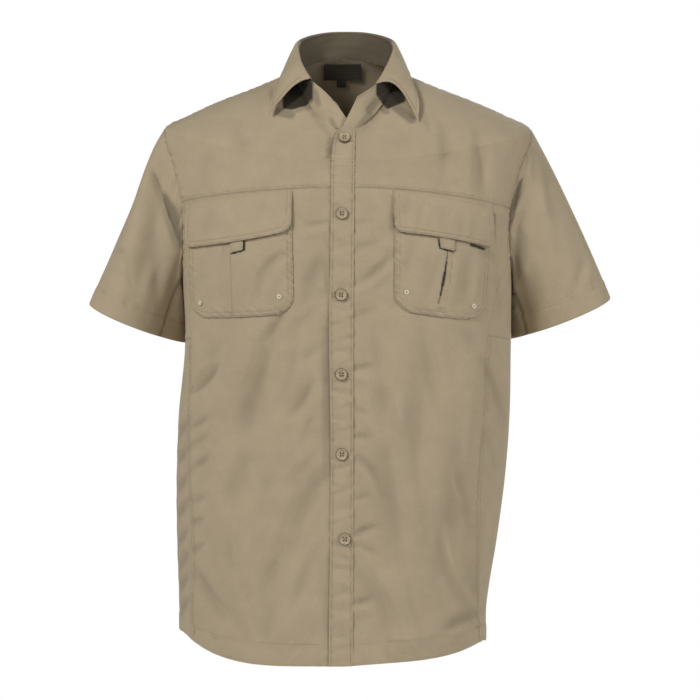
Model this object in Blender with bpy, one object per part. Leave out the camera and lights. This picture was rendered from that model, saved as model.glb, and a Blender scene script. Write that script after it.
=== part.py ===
"""A short-sleeved field shirt, filled out as if it were worn.

Every piece that is cut and sewn is a closed wall of its own: two fronts in an upper and a lower part, a
yoke and a back, side panels under vent panels, sleeves, a stand and a collar, a button band, pockets with
flaps and tabs, buttons and the plain labels in the neck. Metres, +Z up; the front faces -Y and
the origin lies in the neck, level with the tops of the shoulder seams, where the wearer's shoulders bear.
"Left" and "right" are the viewer's, looking at the front: left is -X.
"""

import math
from collections import namedtuple
from functools import lru_cache

import bpy
from mathutils import Matrix, Vector

# Walls and gaps.
CLOTH = 0.0014
FIRM_CLOTH = 0.0018
SEAM_GAP = 0.0003
LAYER_GAP = 0.0004
HEM_EXTRA = 0.0008
BODY_HEM = 0.022
SHARP_ANGLE = 50.0

# The shirt's body. "level" is the way down from the neck seam, along the shoulder and then the side.
# Widths and depths are half-sizes from the middle of the neck; seam angles are where the front ends.
# "tail" is how far a section has a shirt tail's flat middle and raised sides, "hitch" how much higher
# the right front hangs.
Ring = namedtuple(
    "Ring",
    "level left right front back z_left z_right z_front z_back square seam_left seam_right tail hitch",
)
RINGS = [
    Ring(0.000, 0.0700, 0.0700, 0.092, 0.056, 0.0030, 0.0030, -0.078, 0.027, 2.1, 68, 68, 0, 0),
    Ring(0.047, 0.1170, 0.1170, 0.098, 0.072, -0.0170, -0.0170, -0.086, 0.008, 2.2, 68, 68, 0, 0),
    Ring(0.098, 0.1660, 0.1660, 0.104, 0.088, -0.0360, -0.0360, -0.096, -0.018, 2.3, 68, 68, 0, 0),
    Ring(0.141, 0.2040, 0.2060, 0.110, 0.097, -0.0520, -0.0520, -0.106, -0.042, 2.4, 68, 68, 0, 0),
    Ring(0.182, 0.2355, 0.2420, 0.115, 0.103, -0.0690, -0.0710, -0.118, -0.070, 2.5, 68, 68, 0, 0),
    Ring(0.230, 0.2345, 0.2370, 0.120, 0.108, -0.1170, -0.1210, -0.134, -0.113, 2.6, 68, 68, 0, 0),
    Ring(0.277, 0.2270, 0.2265, 0.124, 0.112, -0.1750, -0.1860, -0.153, -0.163, 2.7, 68, 68, 0, 0),
    Ring(0.344, 0.2160, 0.2175, 0.128, 0.115, -0.2370, -0.2390, -0.219, -0.229, 2.7, 68, 67, 0, 0),
    Ring(0.372, 0.2115, 0.2145, 0.129, 0.114, -0.2640, -0.2640, -0.248, -0.256, 2.7, 67, 60, 0, 0),
    Ring(0.450, 0.2075, 0.2130, 0.130, 0.112, -0.3450, -0.3450, -0.330, -0.338, 2.7, 64, 51, 0, 0),
    Ring(0.545, 0.2160, 0.2115, 0.131, 0.108, -0.4400, -0.4400, -0.428, -0.436, 2.7, 59, 49, 0, 0),
    Ring(0.625, 0.2190, 0.2055, 0.130, 0.106, -0.5200, -0.5200, -0.512, -0.518, 2.7, 56, 48, 0, 0),
    Ring(0.705, 0.2185, 0.1950, 0.129, 0.108, -0.6000, -0.6000, -0.598, -0.602, 2.6, 55, 52, 0, 0),
    Ring(0.785, 0.2160, 0.1820, 0.127, 0.112, -0.6760, -0.6830, -0.691, -0.696, 2.6, 57, 59, 0.6, 0.010),
    Ring(0.835, 0.2150, 0.1805, 0.125, 0.115, -0.7190, -0.7350, -0.756, -0.768, 2.5, 58, 64, 1, 0.014),
]
TAIL_FROM = 0.30
TAIL_SPAN = 0.65

# The armhole is an oval in angle and level, with a point for every step of the sleeve's rings. The chest
# seam, the yoke's seam and the side seams end at a step of it.
ARM_ANGLE = 87.0
ARM_SPREAD = 27.0
ARM_TOP = 0.182
ARM_LOW = 0.372
ARM_STEPS = 32
ARM_CLEAR = 0.0004
SIDE_SEAM_STEP = 12
CHEST_STEP = 8
YOKE_STEP = 6

# Rows of the body's grid.
SHOULDER_ROWS = 4
VENT_LEVEL = 0.450
VENT_ROWS = 3
SKIRT_ROWS = 14
HEM_LEVEL = RINGS[-1].level
BAND_COLUMNS = 3
FRONT_COLUMNS = 9
BACK_COLUMNS = 13

# The button band lies on the right front's edge. x of its edges, by height.
Band = namedtuple("Band", "z outer inner")
BAND = [
    Band(-0.078, -0.0060, 0.0112),
    Band(-0.086, -0.0128, 0.0112),
    Band(-0.104, -0.0163, 0.0110),
    Band(-0.120, -0.0176, 0.0107),
    Band(-0.250, -0.0192, 0.0097),
    Band(-0.330, -0.0206, 0.0092),
    Band(-0.500, -0.0187, 0.0092),
    Band(-0.758, -0.0215, 0.0085),
]
BAND_NECK_EXTRA = 0.0006

# The left front's edge sinks under the right front's, and comes back up over two columns.
UNDERLAP_SINK = CLOTH + LAYER_GAP
UNDERLAP_END = 5
UNDERLAP_RAMP = 2
STAND_LAP_FROM = 340.0

# The largest folds, each a soft trough or ridge from one end to the other, seen from its side.
Fold = namedtuple("Fold", "x0 z0 x1 z1 width depth")
FRONT_FOLDS = [
    Fold(-0.075, -0.330, -0.150, -0.480, 0.024, -0.0070),
    Fold(-0.110, -0.320, -0.165, -0.430, 0.018, 0.0040),
    Fold(-0.165, -0.375, -0.200, -0.405, 0.012, -0.0045),
    Fold(-0.040, -0.300, -0.060, -0.340, 0.012, -0.0040),
    Fold(-0.045, -0.400, -0.070, -0.440, 0.014, -0.0050),
    Fold(-0.030, -0.480, -0.110, -0.690, 0.026, -0.0070),
    Fold(-0.150, -0.500, -0.120, -0.700, 0.026, 0.0045),
    Fold(-0.175, -0.650, -0.130, -0.720, 0.016, -0.0050),
    Fold(0.115, -0.345, 0.085, -0.520, 0.024, -0.0065),
    Fold(0.060, -0.370, 0.055, -0.560, 0.024, 0.0050),
    Fold(0.030, -0.520, 0.045, -0.720, 0.022, -0.0055),
    Fold(0.115, -0.560, 0.120, -0.700, 0.022, -0.0050),
    Fold(0.150, -0.400, 0.135, -0.560, 0.020, 0.0045),
    Fold(0.060, -0.730, 0.150, -0.705, 0.014, 0.0045),
    Fold(0.122, -0.085, 0.132, -0.160, 0.014, -0.0050),
    Fold(0.168, -0.080, 0.175, -0.160, 0.012, -0.0045),
    Fold(-0.120, -0.080, -0.125, -0.140, 0.016, -0.0030),
]
BACK_FOLDS = [
    Fold(-0.120, -0.200, -0.090, -0.420, 0.024, -0.0070),
    Fold(0.110, -0.190, 0.095, -0.380, 0.022, -0.0065),
    Fold(-0.030, -0.300, -0.060, -0.560, 0.028, 0.0055),
    Fold(0.040, -0.360, 0.070, -0.640, 0.026, -0.0060),
    Fold(-0.130, -0.480, -0.110, -0.700, 0.024, -0.0060),
    Fold(0.130, -0.500, 0.120, -0.690, 0.022, 0.0050),
    Fold(0.000, -0.560, -0.010, -0.740, 0.024, -0.0050),
    Fold(-0.160, -0.110, -0.110, -0.190, 0.016, -0.0040),
    Fold(0.165, -0.120, 0.120, -0.180, 0.016, -0.0040),
]

# Sleeves. Each cuff is a tilted oval whose inner end lies further back, behind the body's side. The
# sleeve leaves the armhole at an angle below the level, as strongly as its pull says.
Cuff = namedtuple("Cuff", "x z across deep tilt")
CUFFS = {
    "left": Cuff(-0.2745, -0.3204, 0.0645, 0.064, 22.8),
    "right": Cuff(0.2805, -0.3140, 0.0685, 0.064, 20.9),
}
CUFF_FRONT_DROP = 0.009
CUFF_Y = -0.010
CUFF_SWING = 0.044
Leave = namedtuple("Leave", "fall pull")
SLEEVE_OVER = Leave(57, 0.55)
SLEEVE_UNDER = Leave(40, 0.55)
SLEEVE_ARRIVE = 0.70
SLEEVE_ROWS = 9

# Folds of the sleeves, from one (turn, along) to another. LENGTH_TURN degrees of turn count as much as a
# sleeve's whole length, and widths are in degrees.
LENGTH_TURN = 65.0
SEWN_SHARE = 0.12
TubeFold = namedtuple("TubeFold", "turn0 along0 turn1 along1 width depth")
SLEEVE_FOLDS = {
    "left": [
        TubeFold(40, 0.12, 88, 0.55, 13, -0.0090),
        TubeFold(20, 0.10, 55, 0.62, 13, 0.0045),
        TubeFold(-8, 0.66, 42, 0.80, 10, -0.0060),
        TubeFold(125, 0.30, 118, 0.95, 11, -0.0060),
        TubeFold(250, 0.20, 290, 0.80, 18, -0.0060),
        TubeFold(210, 0.30, 220, 0.90, 16, -0.0050),
    ],
    "right": [
        TubeFold(62, 0.10, 98, 0.60, 14, -0.0080),
        TubeFold(50, 0.05, 62, 0.75, 10, 0.0050),
        TubeFold(28, 0.25, 36, 0.90, 14, -0.0050),
        TubeFold(125, 0.30, 118, 0.95, 11, -0.0060),
        TubeFold(255, 0.15, 285, 0.75, 18, -0.0060),
        TubeFold(205, 0.30, 218, 0.90, 16, -0.0050),
    ],
}

# The collar, by angle round the neck: the fold at the stand's top and the collar's free edge.
Station = namedtuple("Station", "angle fold edge")
Place = namedtuple("Place", "angle x y z")
COLLAR_RIGHT = [
    Station(0, (0.0150, -0.0880, -0.0350), None),
    Station(14, (0.0275, -0.0800, -0.0265), None),
    Station(27, (0.0385, -0.0710, -0.0180), (0.0920, -0.0850, -0.0650)),
    Station(45, (0.0490, -0.0540, -0.0010), (0.0930, -0.0690, -0.0390)),
    Station(66, (0.0590, -0.0280, 0.0220), (0.0860, -0.0430, -0.0145)),
    Station(90, (0.0615, 0.0020, 0.0385), (0.0810, 0.0040, 0.0020)),
    Station(125, (0.0480, 0.0360, 0.0500), (0.0660, 0.0480, 0.0090)),
    Station(155, (0.0250, 0.0530, 0.0560), (0.0330, 0.0660, 0.0140)),
    Station(180, (0.0000, 0.0580, 0.0570), (0.0000, 0.0710, 0.0160)),
]
COLLAR_LEFT = [
    Station(0, (-0.0120, -0.0850, -0.0440), None),
    Station(14, (-0.0250, -0.0800, -0.0300), None),
    Station(32, (-0.0445, -0.0720, -0.0120), (-0.0985, -0.0850, -0.0560)),
    Station(45, (-0.0560, -0.0540, 0.0080), (-0.0937, -0.0690, -0.0350)),
    Station(66, (-0.0605, -0.0280, 0.0240), (-0.0870, -0.0430, -0.0140)),
    Station(90, (-0.0620, 0.0020, 0.0385), (-0.0814, 0.0040, 0.0020)),
    Station(125, (-0.0480, 0.0360, 0.0500), (-0.0660, 0.0480, 0.0090)),
    Station(155, (-0.0250, 0.0530, 0.0560), (-0.0330, 0.0660, 0.0140)),
    Station(180, (0.0000, 0.0580, 0.0570), (0.0000, 0.0710, 0.0160)),
]
STAND_END_SPAN = 14.0
STAND_ROWS = 3
COLLAR_ROLL = 0.0022
COLLAR_DROP_ROWS = 4
COLLAR_BULGE = 0.002

# Pockets: four corners as (x, z), the lower corners' radius and the lower edge's sag in the middle.
Patch = namedtuple("Patch", "top_left top_right low_left low_right corner sag")
POCKETS = {
    "left": Patch(
        (-0.2000, -0.1860), (-0.0690, -0.1740), (-0.1975, -0.3160), (-0.0655, -0.3115), 0.024, 0.002
    ),
    "right": Patch(
        (0.0625, -0.1730), (0.1840, -0.1890), (0.0615, -0.3060), (0.1765, -0.3190), 0.022, 0.003
    ),
}
FLAPS = {
    "left": Patch(
        (-0.2050, -0.1712), (-0.0678, -0.1568), (-0.2035, -0.2260), (-0.0690, -0.2070), 0.010, 0.004
    ),
    "right": Patch(
        (0.0608, -0.1562), (0.1878, -0.1768), (0.0615, -0.2085), (0.1868, -0.2275), 0.010, -0.002
    ),
}
TABS = {
    "left": Patch(
        (-0.1480, -0.2060), (-0.1270, -0.2030), (-0.1460, -0.2345), (-0.1290, -0.2310), 0.003, 0
    ),
    "right": Patch(
        (0.1155, -0.2060), (0.1365, -0.2090), (0.1180, -0.2290), (0.1350, -0.2325), 0.003, 0
    ),
}
POCKET_GAP = 0.0007
POCKET_LIFT = CLOTH + POCKET_GAP
POCKET_BULGE = 0.0040
FLAP_RISE = 0.28
FLAP_FLARE = 0.0042
TAB_THICK = 0.0012
POCKET_ROWS = 11
FLAP_ROWS = 8
FLAP_COLUMNS = 12
TAB_ROWS = 7
TAB_COLUMNS = 3
CORNER_TURNS = (22.5, 45, 67.5, 90)
PLEAT_EDGE = 0.004

# The pockets' pleats: across-shares at the top and the foot, and the step down at the fold's edge. The
# cloth comes back up over the share "ramp", to the left of the edge if that is negative. "stretches" has
# the columns on the way from side to side.
Pleat = namedtuple("Pleat", "top foot step ramp stretches")
PLEATS = {
    "left": Pleat(0.335, 0.372, 0.0012, 0.16, (4, 1, 2, 5)),
    "right": Pleat(0.640, 0.560, 0.0022, -0.14, (5, 2, 1, 4)),
}

# Buttons on the band.
Place2 = namedtuple("Place2", "x z")
BUTTONS = [
    Place2(-0.0016, -0.0900),
    Place2(-0.0048, -0.1860),
    Place2(-0.0058, -0.2885),
    Place2(-0.0055, -0.3885),
    Place2(-0.0050, -0.4890),
    Place2(-0.0012, -0.5955),
]
BUTTON_RADIUS = 0.0065
BUTTON_THICK = 0.0030
BUTTON_SIDES = 16
BUTTON_GAP = 0.0006

# Plain labels inside the back of the neck.
LABEL = {"x": -0.003, "width": 0.050, "top": 0.021, "low": 0.001}
SIZE_TAB = {"x": -0.006, "width": 0.012, "top": 0.0003, "low": -0.008}
LABEL_GAP = 0.0014
LABEL_THICK = 0.0010
LABEL_COLUMNS = 6

KHAKI = ((0.392, 0.323, 0.226), 0.82, 0.0)
BUTTON_BROWN = ((0.250, 0.200, 0.135), 0.35, 0.0)
LABEL_BLACK = ((0.020, 0.018, 0.016), 0.75, 0.0)


def clear_scene():
    """Removes whatever the scene holds."""
    for thing in list(bpy.data.objects):
        bpy.data.objects.remove(thing)


def between(rows, at, key, column):
    """A table's column, smooth between its rows: a cubic through them with the rows' own slopes."""
    keys = [getattr(r, key) for r in rows]
    values = [getattr(r, column) for r in rows]
    rising = keys[-1] > keys[0]
    if not rising:
        keys = [-k for k in keys]
        at = -at
    at = min(max(at, keys[0]), keys[-1])
    i = 0
    while i < len(keys) - 2 and at > keys[i + 1]:
        i += 1

    def slope(j):
        low, high = max(j - 1, 0), min(j + 1, len(keys) - 1)
        return (values[high] - values[low]) / (keys[high] - keys[low])

    span = keys[i + 1] - keys[i]
    t = (at - keys[i]) / span
    start, end = slope(i) * span, slope(i + 1) * span
    return (
        (2 * t**3 - 3 * t**2 + 1) * values[i]
        + (t**3 - 2 * t**2 + t) * start
        + (-2 * t**3 + 3 * t**2) * values[i + 1]
        + (t**3 - t**2) * end
    )


@lru_cache(maxsize=None)
def ring_at(level):
    """The body's section at a level, with every column of the table."""
    return Ring(*(between(RINGS, level, "level", c) for c in Ring._fields))


def bare_body(angle, level):
    """A point of the smooth body. angle is 0 at the centre front, 90 at the viewer's right."""
    ring = ring_at(level)
    s, c = math.sin(math.radians(angle)), math.cos(math.radians(angle))
    reach = (abs(s) ** ring.square + abs(c) ** ring.square) ** (-1 / ring.square)
    half = ring.right if s >= 0 else ring.left
    deep = ring.front if c >= 0 else ring.back
    z_end = ring.z_front if c >= 0 else ring.z_back
    z_side = ring.z_right if s >= 0 else ring.z_left
    drop = c * c + (ease((abs(c) - TAIL_FROM) / TAIL_SPAN) - c * c) * ring.tail
    z = z_side + (z_end - z_side) * drop + ring.hitch * max(s, 0) * max(c, 0)
    return Vector((half * s * reach, -deep * c * reach, z))


def body_normal(angle, level):
    """The smooth body's outward normal."""
    turn, step = 0.5, 0.001
    low, high = max(level - step, 0), min(level + step, HEM_LEVEL)
    round_it = bare_body(angle + turn, level) - bare_body(angle - turn, level)
    down_it = bare_body(angle, high) - bare_body(angle, low)
    return down_it.cross(round_it).normalized()


def ease(t):
    """From 0 to 1, smooth at both ends."""
    t = min(max(t, 0.0), 1.0)
    return t * t * (3 - 2 * t)


def crease(a, b, a0, b0, a1, b1, width):
    """How much of a fold there is at (a, b): 1 on its line, fading across it and past its ends."""
    da, db = a1 - a0, b1 - b0
    long2 = da * da + db * db
    t = ((a - a0) * da + (b - b0) * db) / long2
    near = min(max(t, 0.0), 1.0)
    away2 = (a - a0 - near * da) ** 2 + (b - b0 - near * db) ** 2
    taper = 0.35 + 0.65 * math.sin(math.pi * near)
    return math.exp(-away2 / width**2) * taper


def body_fold(angle, point):
    """How far the folds move the body's cloth outwards at a point."""
    facing = math.cos(math.radians(angle))
    folds = FRONT_FOLDS if facing > 0 else BACK_FOLDS
    share = ease(abs(facing) / 0.35)
    total = sum(f.depth * crease(point.x, point.z, f.x0, f.z0, f.x1, f.z1, f.width) for f in folds)
    return share * total


def body(angle, level, lift=0.0):
    """A point of the cloth, lifted off its middle surface."""
    point = bare_body(angle, level)
    return point + body_normal(angle, level) * (body_fold(angle, point) + lift)


def angle_for_x(x, level):
    """The angle at which the front has this x at this level."""
    ring = ring_at(level)
    half = ring.right if x >= 0 else ring.left
    low, high = 0.0, 90.0
    for _ in range(30):
        middle = (low + high) / 2
        if abs(bare_body(math.copysign(middle, x), level).x) < min(abs(x), half):
            low = middle
        else:
            high = middle
    return math.copysign((low + high) / 2, x)


def spot(x, z):
    """(angle, level) of the point of the front with this x and z."""
    low, high = 0.0, HEM_LEVEL
    for _ in range(30):
        level = (low + high) / 2
        if bare_body(angle_for_x(x, level), level).z > z:
            low = level
        else:
            high = level
    return angle_for_x(x, level), level


def arm_point(step, side):
    """(angle, level) of a point of the armhole. Step 0 is its top, and steps run over the front."""
    turn = 2 * math.pi * step / ARM_STEPS
    middle, half = (ARM_TOP + ARM_LOW) / 2, (ARM_LOW - ARM_TOP) / 2
    angle = ARM_ANGLE - ARM_SPREAD * math.sin(turn)
    return side_sign(side) * angle, middle - half * math.cos(turn)


def side_sign(side):
    """The sign of x on a side."""
    return -1 if side == "left" else 1


def row_levels():
    """The levels of the body's grid rows, from the neck to the hem."""
    rows = [ARM_TOP * i / SHOULDER_ROWS for i in range(SHOULDER_ROWS)]
    rows += [arm_point(k, "right")[1] for k in range(ARM_STEPS // 2 + 1)]
    rows += [ARM_LOW + (VENT_LEVEL - ARM_LOW) * i / VENT_ROWS for i in range(1, VENT_ROWS + 1)]
    rows += [VENT_LEVEL + (HEM_LEVEL - VENT_LEVEL) * i / SKIRT_ROWS for i in range(1, SKIRT_ROWS + 1)]
    return rows


LEVELS = row_levels()
CHEST_ROW = SHOULDER_ROWS + CHEST_STEP
YOKE_ROW = SHOULDER_ROWS + YOKE_STEP
SEAM_ROW = SHOULDER_ROWS + SIDE_SEAM_STEP
ARM_LOW_ROW = SHOULDER_ROWS + ARM_STEPS // 2
VENT_ROW = ARM_LOW_ROW + VENT_ROWS


def panel_end(row, side, face):
    """The angle, without its sign, where the front or the back ends at a row: at the shoulder seam, the
    armhole or the side seam."""
    level = LEVELS[row]
    if row < SHOULDER_ROWS:
        return ARM_ANGLE
    if row <= SEAM_ROW:
        step = row - SHOULDER_ROWS
        return abs(arm_point(step if face == "front" else -step, side)[0])
    seam = ring_at(level).seam_left if side == "left" else ring_at(level).seam_right
    return seam if face == "front" else 2 * ARM_ANGLE - seam


def front_angles(row, side):
    """The front's grid angles at a row: the band's three, then on to the panel's end."""
    level = LEVELS[row]
    middle_z = bare_body(0, level).z
    outer, inner = (between(BAND, middle_z, "z", c) for c in ("outer", "inner"))
    edge = [outer, (outer + inner) / 2, inner]
    if side == "left":
        edge.reverse()
    angles = [angle_for_x(x, level) for x in edge]
    end = side_sign(side) * panel_end(row, side, "front")
    start = angles[-1]
    return angles + [start + (end - start) * i / FRONT_COLUMNS for i in range(1, FRONT_COLUMNS + 1)]


def underlap(column):
    """How far the left front sinks, under the right front's edge."""
    return UNDERLAP_SINK * ease((UNDERLAP_END - column) / UNDERLAP_RAMP)


def front_grid(side, first, last):
    """A front between two rows, as rows of (point, normal)."""
    grid = []
    for row in range(first, last + 1):
        line = []
        for column, angle in enumerate(front_angles(row, side)):
            sink = underlap(column) if side == "left" else 0.0
            line.append((body(angle, LEVELS[row], -sink), body_normal(angle, LEVELS[row])))
        grid.append(line)
    return grid


def back_grid(first, last):
    """The back between two rows, from the viewer's right round to the left."""
    grid = []
    for row in range(first, last + 1):
        start = panel_end(row, "right", "back")
        end = 360 - panel_end(row, "left", "back")
        line = []
        for i in range(BACK_COLUMNS + 1):
            angle = start + (end - start) * i / BACK_COLUMNS
            line.append((body(angle, LEVELS[row]), body_normal(angle, LEVELS[row])))
        grid.append(line)
    return grid


def side_spot(share, row, side):
    """(angle, level) on the side of the body, share from the front seam to the back seam."""
    rows_above = VENT_ROW - SEAM_ROW
    down = (row - SEAM_ROW) / rows_above
    sign = side_sign(side)
    front, back = panel_end(row, side, "front"), panel_end(row, side, "back")
    if row >= VENT_ROW:
        return sign * (front + (back - front) * share), LEVELS[row]
    arc_steps = ARM_STEPS - 2 * SIDE_SEAM_STEP
    top = arm_point(SIDE_SEAM_STEP + share * arc_steps, side)
    top = (abs(top[0]), top[1])
    corners = [
        (panel_end(SEAM_ROW, side, "front"), LEVELS[SEAM_ROW]),
        (panel_end(SEAM_ROW, side, "back"), LEVELS[SEAM_ROW]),
        (panel_end(VENT_ROW, side, "front"), VENT_LEVEL),
        (panel_end(VENT_ROW, side, "back"), VENT_LEVEL),
    ]
    low = tuple(a + (b - a) * share for a, b in zip(corners[2], corners[3]))
    edges = ((front, LEVELS[row]), (back, LEVELS[row]))
    spot_at = []
    for axis in range(2):
        straight = (
            (1 - share) * (1 - down) * corners[0][axis]
            + share * (1 - down) * corners[1][axis]
            + (1 - share) * down * corners[2][axis]
            + share * down * corners[3][axis]
        )
        spot_at.append(
            (1 - down) * top[axis]
            + down * low[axis]
            + (1 - share) * edges[0][axis]
            + share * edges[1][axis]
            - straight
        )
    return sign * spot_at[0], spot_at[1]


def side_grid(side, first, last):
    """The vent panel or the side panel, from the front seam to the back seam."""
    columns = ARM_STEPS - 2 * SIDE_SEAM_STEP
    grid = []
    for row in range(first, last + 1):
        line = []
        for i in range(columns + 1):
            angle, level = side_spot(i / columns, row, side)
            line.append((body(angle, level), body_normal(angle, level)))
        grid.append(line)
    return grid


def cuff_point(turn, side):
    """A point of the cuff's edge. turn is 0 at its outer top and 90 at its front."""
    cuff, sign = CUFFS[side], side_sign(side)
    tilt, angle = math.radians(cuff.tilt), math.radians(turn)
    outward = Vector((sign * math.cos(tilt), 0, math.sin(tilt)))
    back = CUFF_Y + CUFF_SWING * (1 - math.cos(angle)) / 2
    front = Vector((0, -cuff.deep, -CUFF_FRONT_DROP))
    centre = Vector((cuff.x, back, cuff.z))
    return centre + outward * (cuff.across * math.cos(angle)) + front * math.sin(angle)


def bare_sleeve(turn, along, side):
    """A point of the smooth sleeve: a curve from the armhole, which leaves sideways, to the cuff."""
    sign = side_sign(side)
    angle, level = arm_point(turn * ARM_STEPS / 360, side)
    start, end = body(angle, level), cuff_point(turn, side)
    over = (1 + math.cos(math.radians(turn))) / 2
    fall = math.radians(SLEEVE_UNDER.fall + (SLEEVE_OVER.fall - SLEEVE_UNDER.fall) * over)
    pull = SLEEVE_UNDER.pull + (SLEEVE_OVER.pull - SLEEVE_UNDER.pull) * over
    tilt = math.radians(CUFFS[side].tilt)
    chord = (end - start).length
    leave = Vector((sign * math.cos(fall), 0, -math.sin(fall))) * chord * pull
    arrive = Vector((sign * math.sin(tilt), 0, -math.cos(tilt))) * chord * SLEEVE_ARRIVE
    t = along
    return (
        start * (2 * t**3 - 3 * t**2 + 1)
        + leave * (t**3 - 2 * t**2 + t)
        + end * (-2 * t**3 + 3 * t**2)
        + arrive * (t**3 - t**2)
    )


def sleeve_normal(turn, along, side):
    """The smooth sleeve's outward normal."""
    low, high = max(along - 0.02, 0), min(along + 0.02, 1)
    round_it = bare_sleeve(turn + 1, along, side) - bare_sleeve(turn - 1, along, side)
    down_it = bare_sleeve(turn, high, side) - bare_sleeve(turn, low, side)
    return (round_it.cross(down_it) * side_sign(side)).normalized()


def sleeve(turn, along, side, lift=0.0):
    """A point of the sleeve's cloth. Its folds fade at the armhole, where it is sewn to the body."""
    point, normal = bare_sleeve(turn, along, side), sleeve_normal(turn, along, side)
    total = 0.0
    for f in SLEEVE_FOLDS[side]:
        here = ((turn - f.turn0 + 180) % 360 - 180 + f.turn0) / LENGTH_TURN
        start, end, width = (v / LENGTH_TURN for v in (f.turn0, f.turn1, f.width))
        total += f.depth * crease(here, along, start, f.along0, end, f.along1, width)
    return point + normal * (total * ease(along / SEWN_SHARE) + lift)


def pull_back(opening, half=CLOTH / 2):
    """How far each of two walls ends before the line where they meet at an angle, so that their faces
    just clear."""
    return half / math.tan(opening / 2) + SEAM_GAP / 2 / math.sin(opening / 2)


def arm_pull(step, side):
    """The pull-back at a point of the armhole, between the body and the sleeve."""
    angle, level = arm_point(step, side)
    here = body(angle, level)
    ahead = body(*arm_point(step + 0.2, side)) - body(*arm_point(step - 0.2, side))
    turn = step * 360 / ARM_STEPS
    out = sleeve(turn, 1 / SLEEVE_ROWS, side) - here
    hole = body_normal(angle, level).cross(ahead)
    centre = sum((body(*arm_point(k, side)) for k in (0, 8, 16, 24)), Vector()) / 4
    if hole.dot(centre - here) > 0:
        hole = -hole
    along = ahead.normalized()
    out -= along * out.dot(along)
    return pull_back(hole.angle(out)) + ARM_CLEAR


def draw_in(line, amount):
    """Moves the first point of a line of (point, normal) towards the second."""
    (point, normal), (following, _) = line[0], line[1]
    line[0] = (point + (following - point).normalized() * amount, normal)


def inset(grid, top=0.0, low=0.0, start=0.0, end=0.0):
    """Moves a grid's borders inwards. Each is one distance, or one for each point along it."""

    def each(amount, count):
        return amount if isinstance(amount, list) else [amount] * count

    rows, columns = len(grid), len(grid[0])
    for i, amount in enumerate(each(start, rows)):
        draw_in(grid[i], amount)
    for i, amount in enumerate(each(end, rows)):
        line = grid[i][::-1]
        draw_in(line, amount)
        grid[i] = line[::-1]
    for j, amount in enumerate(each(top, columns)):
        line = [grid[i][j] for i in range(rows)]
        draw_in(line, amount)
        grid[0][j] = line[0]
    for j, amount in enumerate(each(low, columns)):
        line = [grid[i][j] for i in range(rows)][::-1]
        draw_in(line, amount)
        grid[-1][j] = line[0]
    return grid


def material(name, finish):
    """A Principled material with a colour, a roughness and a metallic value."""
    colour, roughness, metallic = finish
    made = bpy.data.materials.get(name) or bpy.data.materials.new(name)
    made.use_nodes = True
    shader = made.node_tree.nodes["Principled BSDF"]
    shader.inputs["Base Color"].default_value = (*colour, 1.0)
    shader.inputs["Roughness"].default_value = roughness
    shader.inputs["Metallic"].default_value = metallic
    return made


def add_object(name, points, faces, finish):
    """An object with a mesh, its material and smooth shading that keeps the wall's edges sharp."""
    mesh = bpy.data.meshes.new(name)
    mesh.from_pydata([tuple(p) for p in points], [], faces)
    mesh.validate()
    mesh.shade_smooth()
    mesh.set_sharp_from_angle(angle=math.radians(SHARP_ANGLE))
    mesh.materials.append(material(finish[0], finish[1]))
    thing = bpy.data.objects.new(name, mesh)
    bpy.context.collection.objects.link(thing)
    return thing


def wall(name, grid, finish, thick=CLOTH, inner_extra=None, closed=False, flip=False):
    """A closed wall round a grid of (point, normal), half its thickness to each side."""
    rows, columns = len(grid), len(grid[0])
    inner, outer = [], []
    for i, line in enumerate(grid):
        extras = [inner_extra(i, j) if inner_extra else 0.0 for j in range(columns)]
        inner += [p - n * (thick / 2 + extra) for (p, n), extra in zip(line, extras)]
        outer += [p + n * (thick / 2) for p, n in line]
    points, shift = inner + outer, len(inner)
    faces = []

    def add(*corners):
        faces.append(corners[::-1] if flip else corners)

    across = columns if closed else columns - 1
    for i in range(rows - 1):
        for j in range(across):
            k = (j + 1) % columns
            a, b, c, d = i * columns + j, i * columns + k, (i + 1) * columns + k, (i + 1) * columns + j
            add(a, b, c, d)
            add(shift + d, shift + c, shift + b, shift + a)
    for j in range(across):
        k = (j + 1) % columns
        add(shift + j, shift + k, k, j)
        low = (rows - 1) * columns
        add(low + j, low + k, shift + low + k, shift + low + j)
    if not closed:
        for i in range(rows - 1):
            a, d = i * columns, (i + 1) * columns
            add(a, d, shift + d, shift + a)
            b, c = a + columns - 1, d + columns - 1
            add(shift + b, shift + c, c, b)
    return add_object(name, points, faces, finish)


CLOTH_FINISH = ("khaki_cloth", KHAKI)
HALF_GAP = SEAM_GAP / 2


def hem_extra(first, free_columns=0):
    """The turned-up hem's extra thickness, inside, for the body's rows from the first on."""

    def extra(row, column):
        in_hem = LEVELS[first + row] > HEM_LEVEL - BODY_HEM * 1.5
        return HEM_EXTRA if in_hem and column >= free_columns else 0.0

    return extra


def neck_opening(angle):
    """The angle between the stand and the body's cloth at the neck seam."""
    foot, top, _ = stand_frame(angle % 360)
    return (body(angle, 0.01) - body(angle, 0)).angle(top - foot)


def neck_pull(angle):
    """The pull-back of the body's neck edge from the stand."""
    return pull_back(neck_opening(angle), FIRM_CLOTH / 2)


def stand_pull(angle):
    """The pull-back of the stand's foot from the body's neck edge."""
    return pull_back(neck_opening(angle), CLOTH / 2)


def arm_pulls(first, last, side, face):
    """The pull-backs down a panel's armhole edge, with the seam's half gap elsewhere."""
    pulls = []
    for row in range(first, last + 1):
        step = row - SHOULDER_ROWS
        if row < SHOULDER_ROWS or row > SEAM_ROW:
            pulls.append(HALF_GAP)
        else:
            pulls.append(arm_pull(step if face == "front" else ARM_STEPS - step, side))
    return pulls


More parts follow.
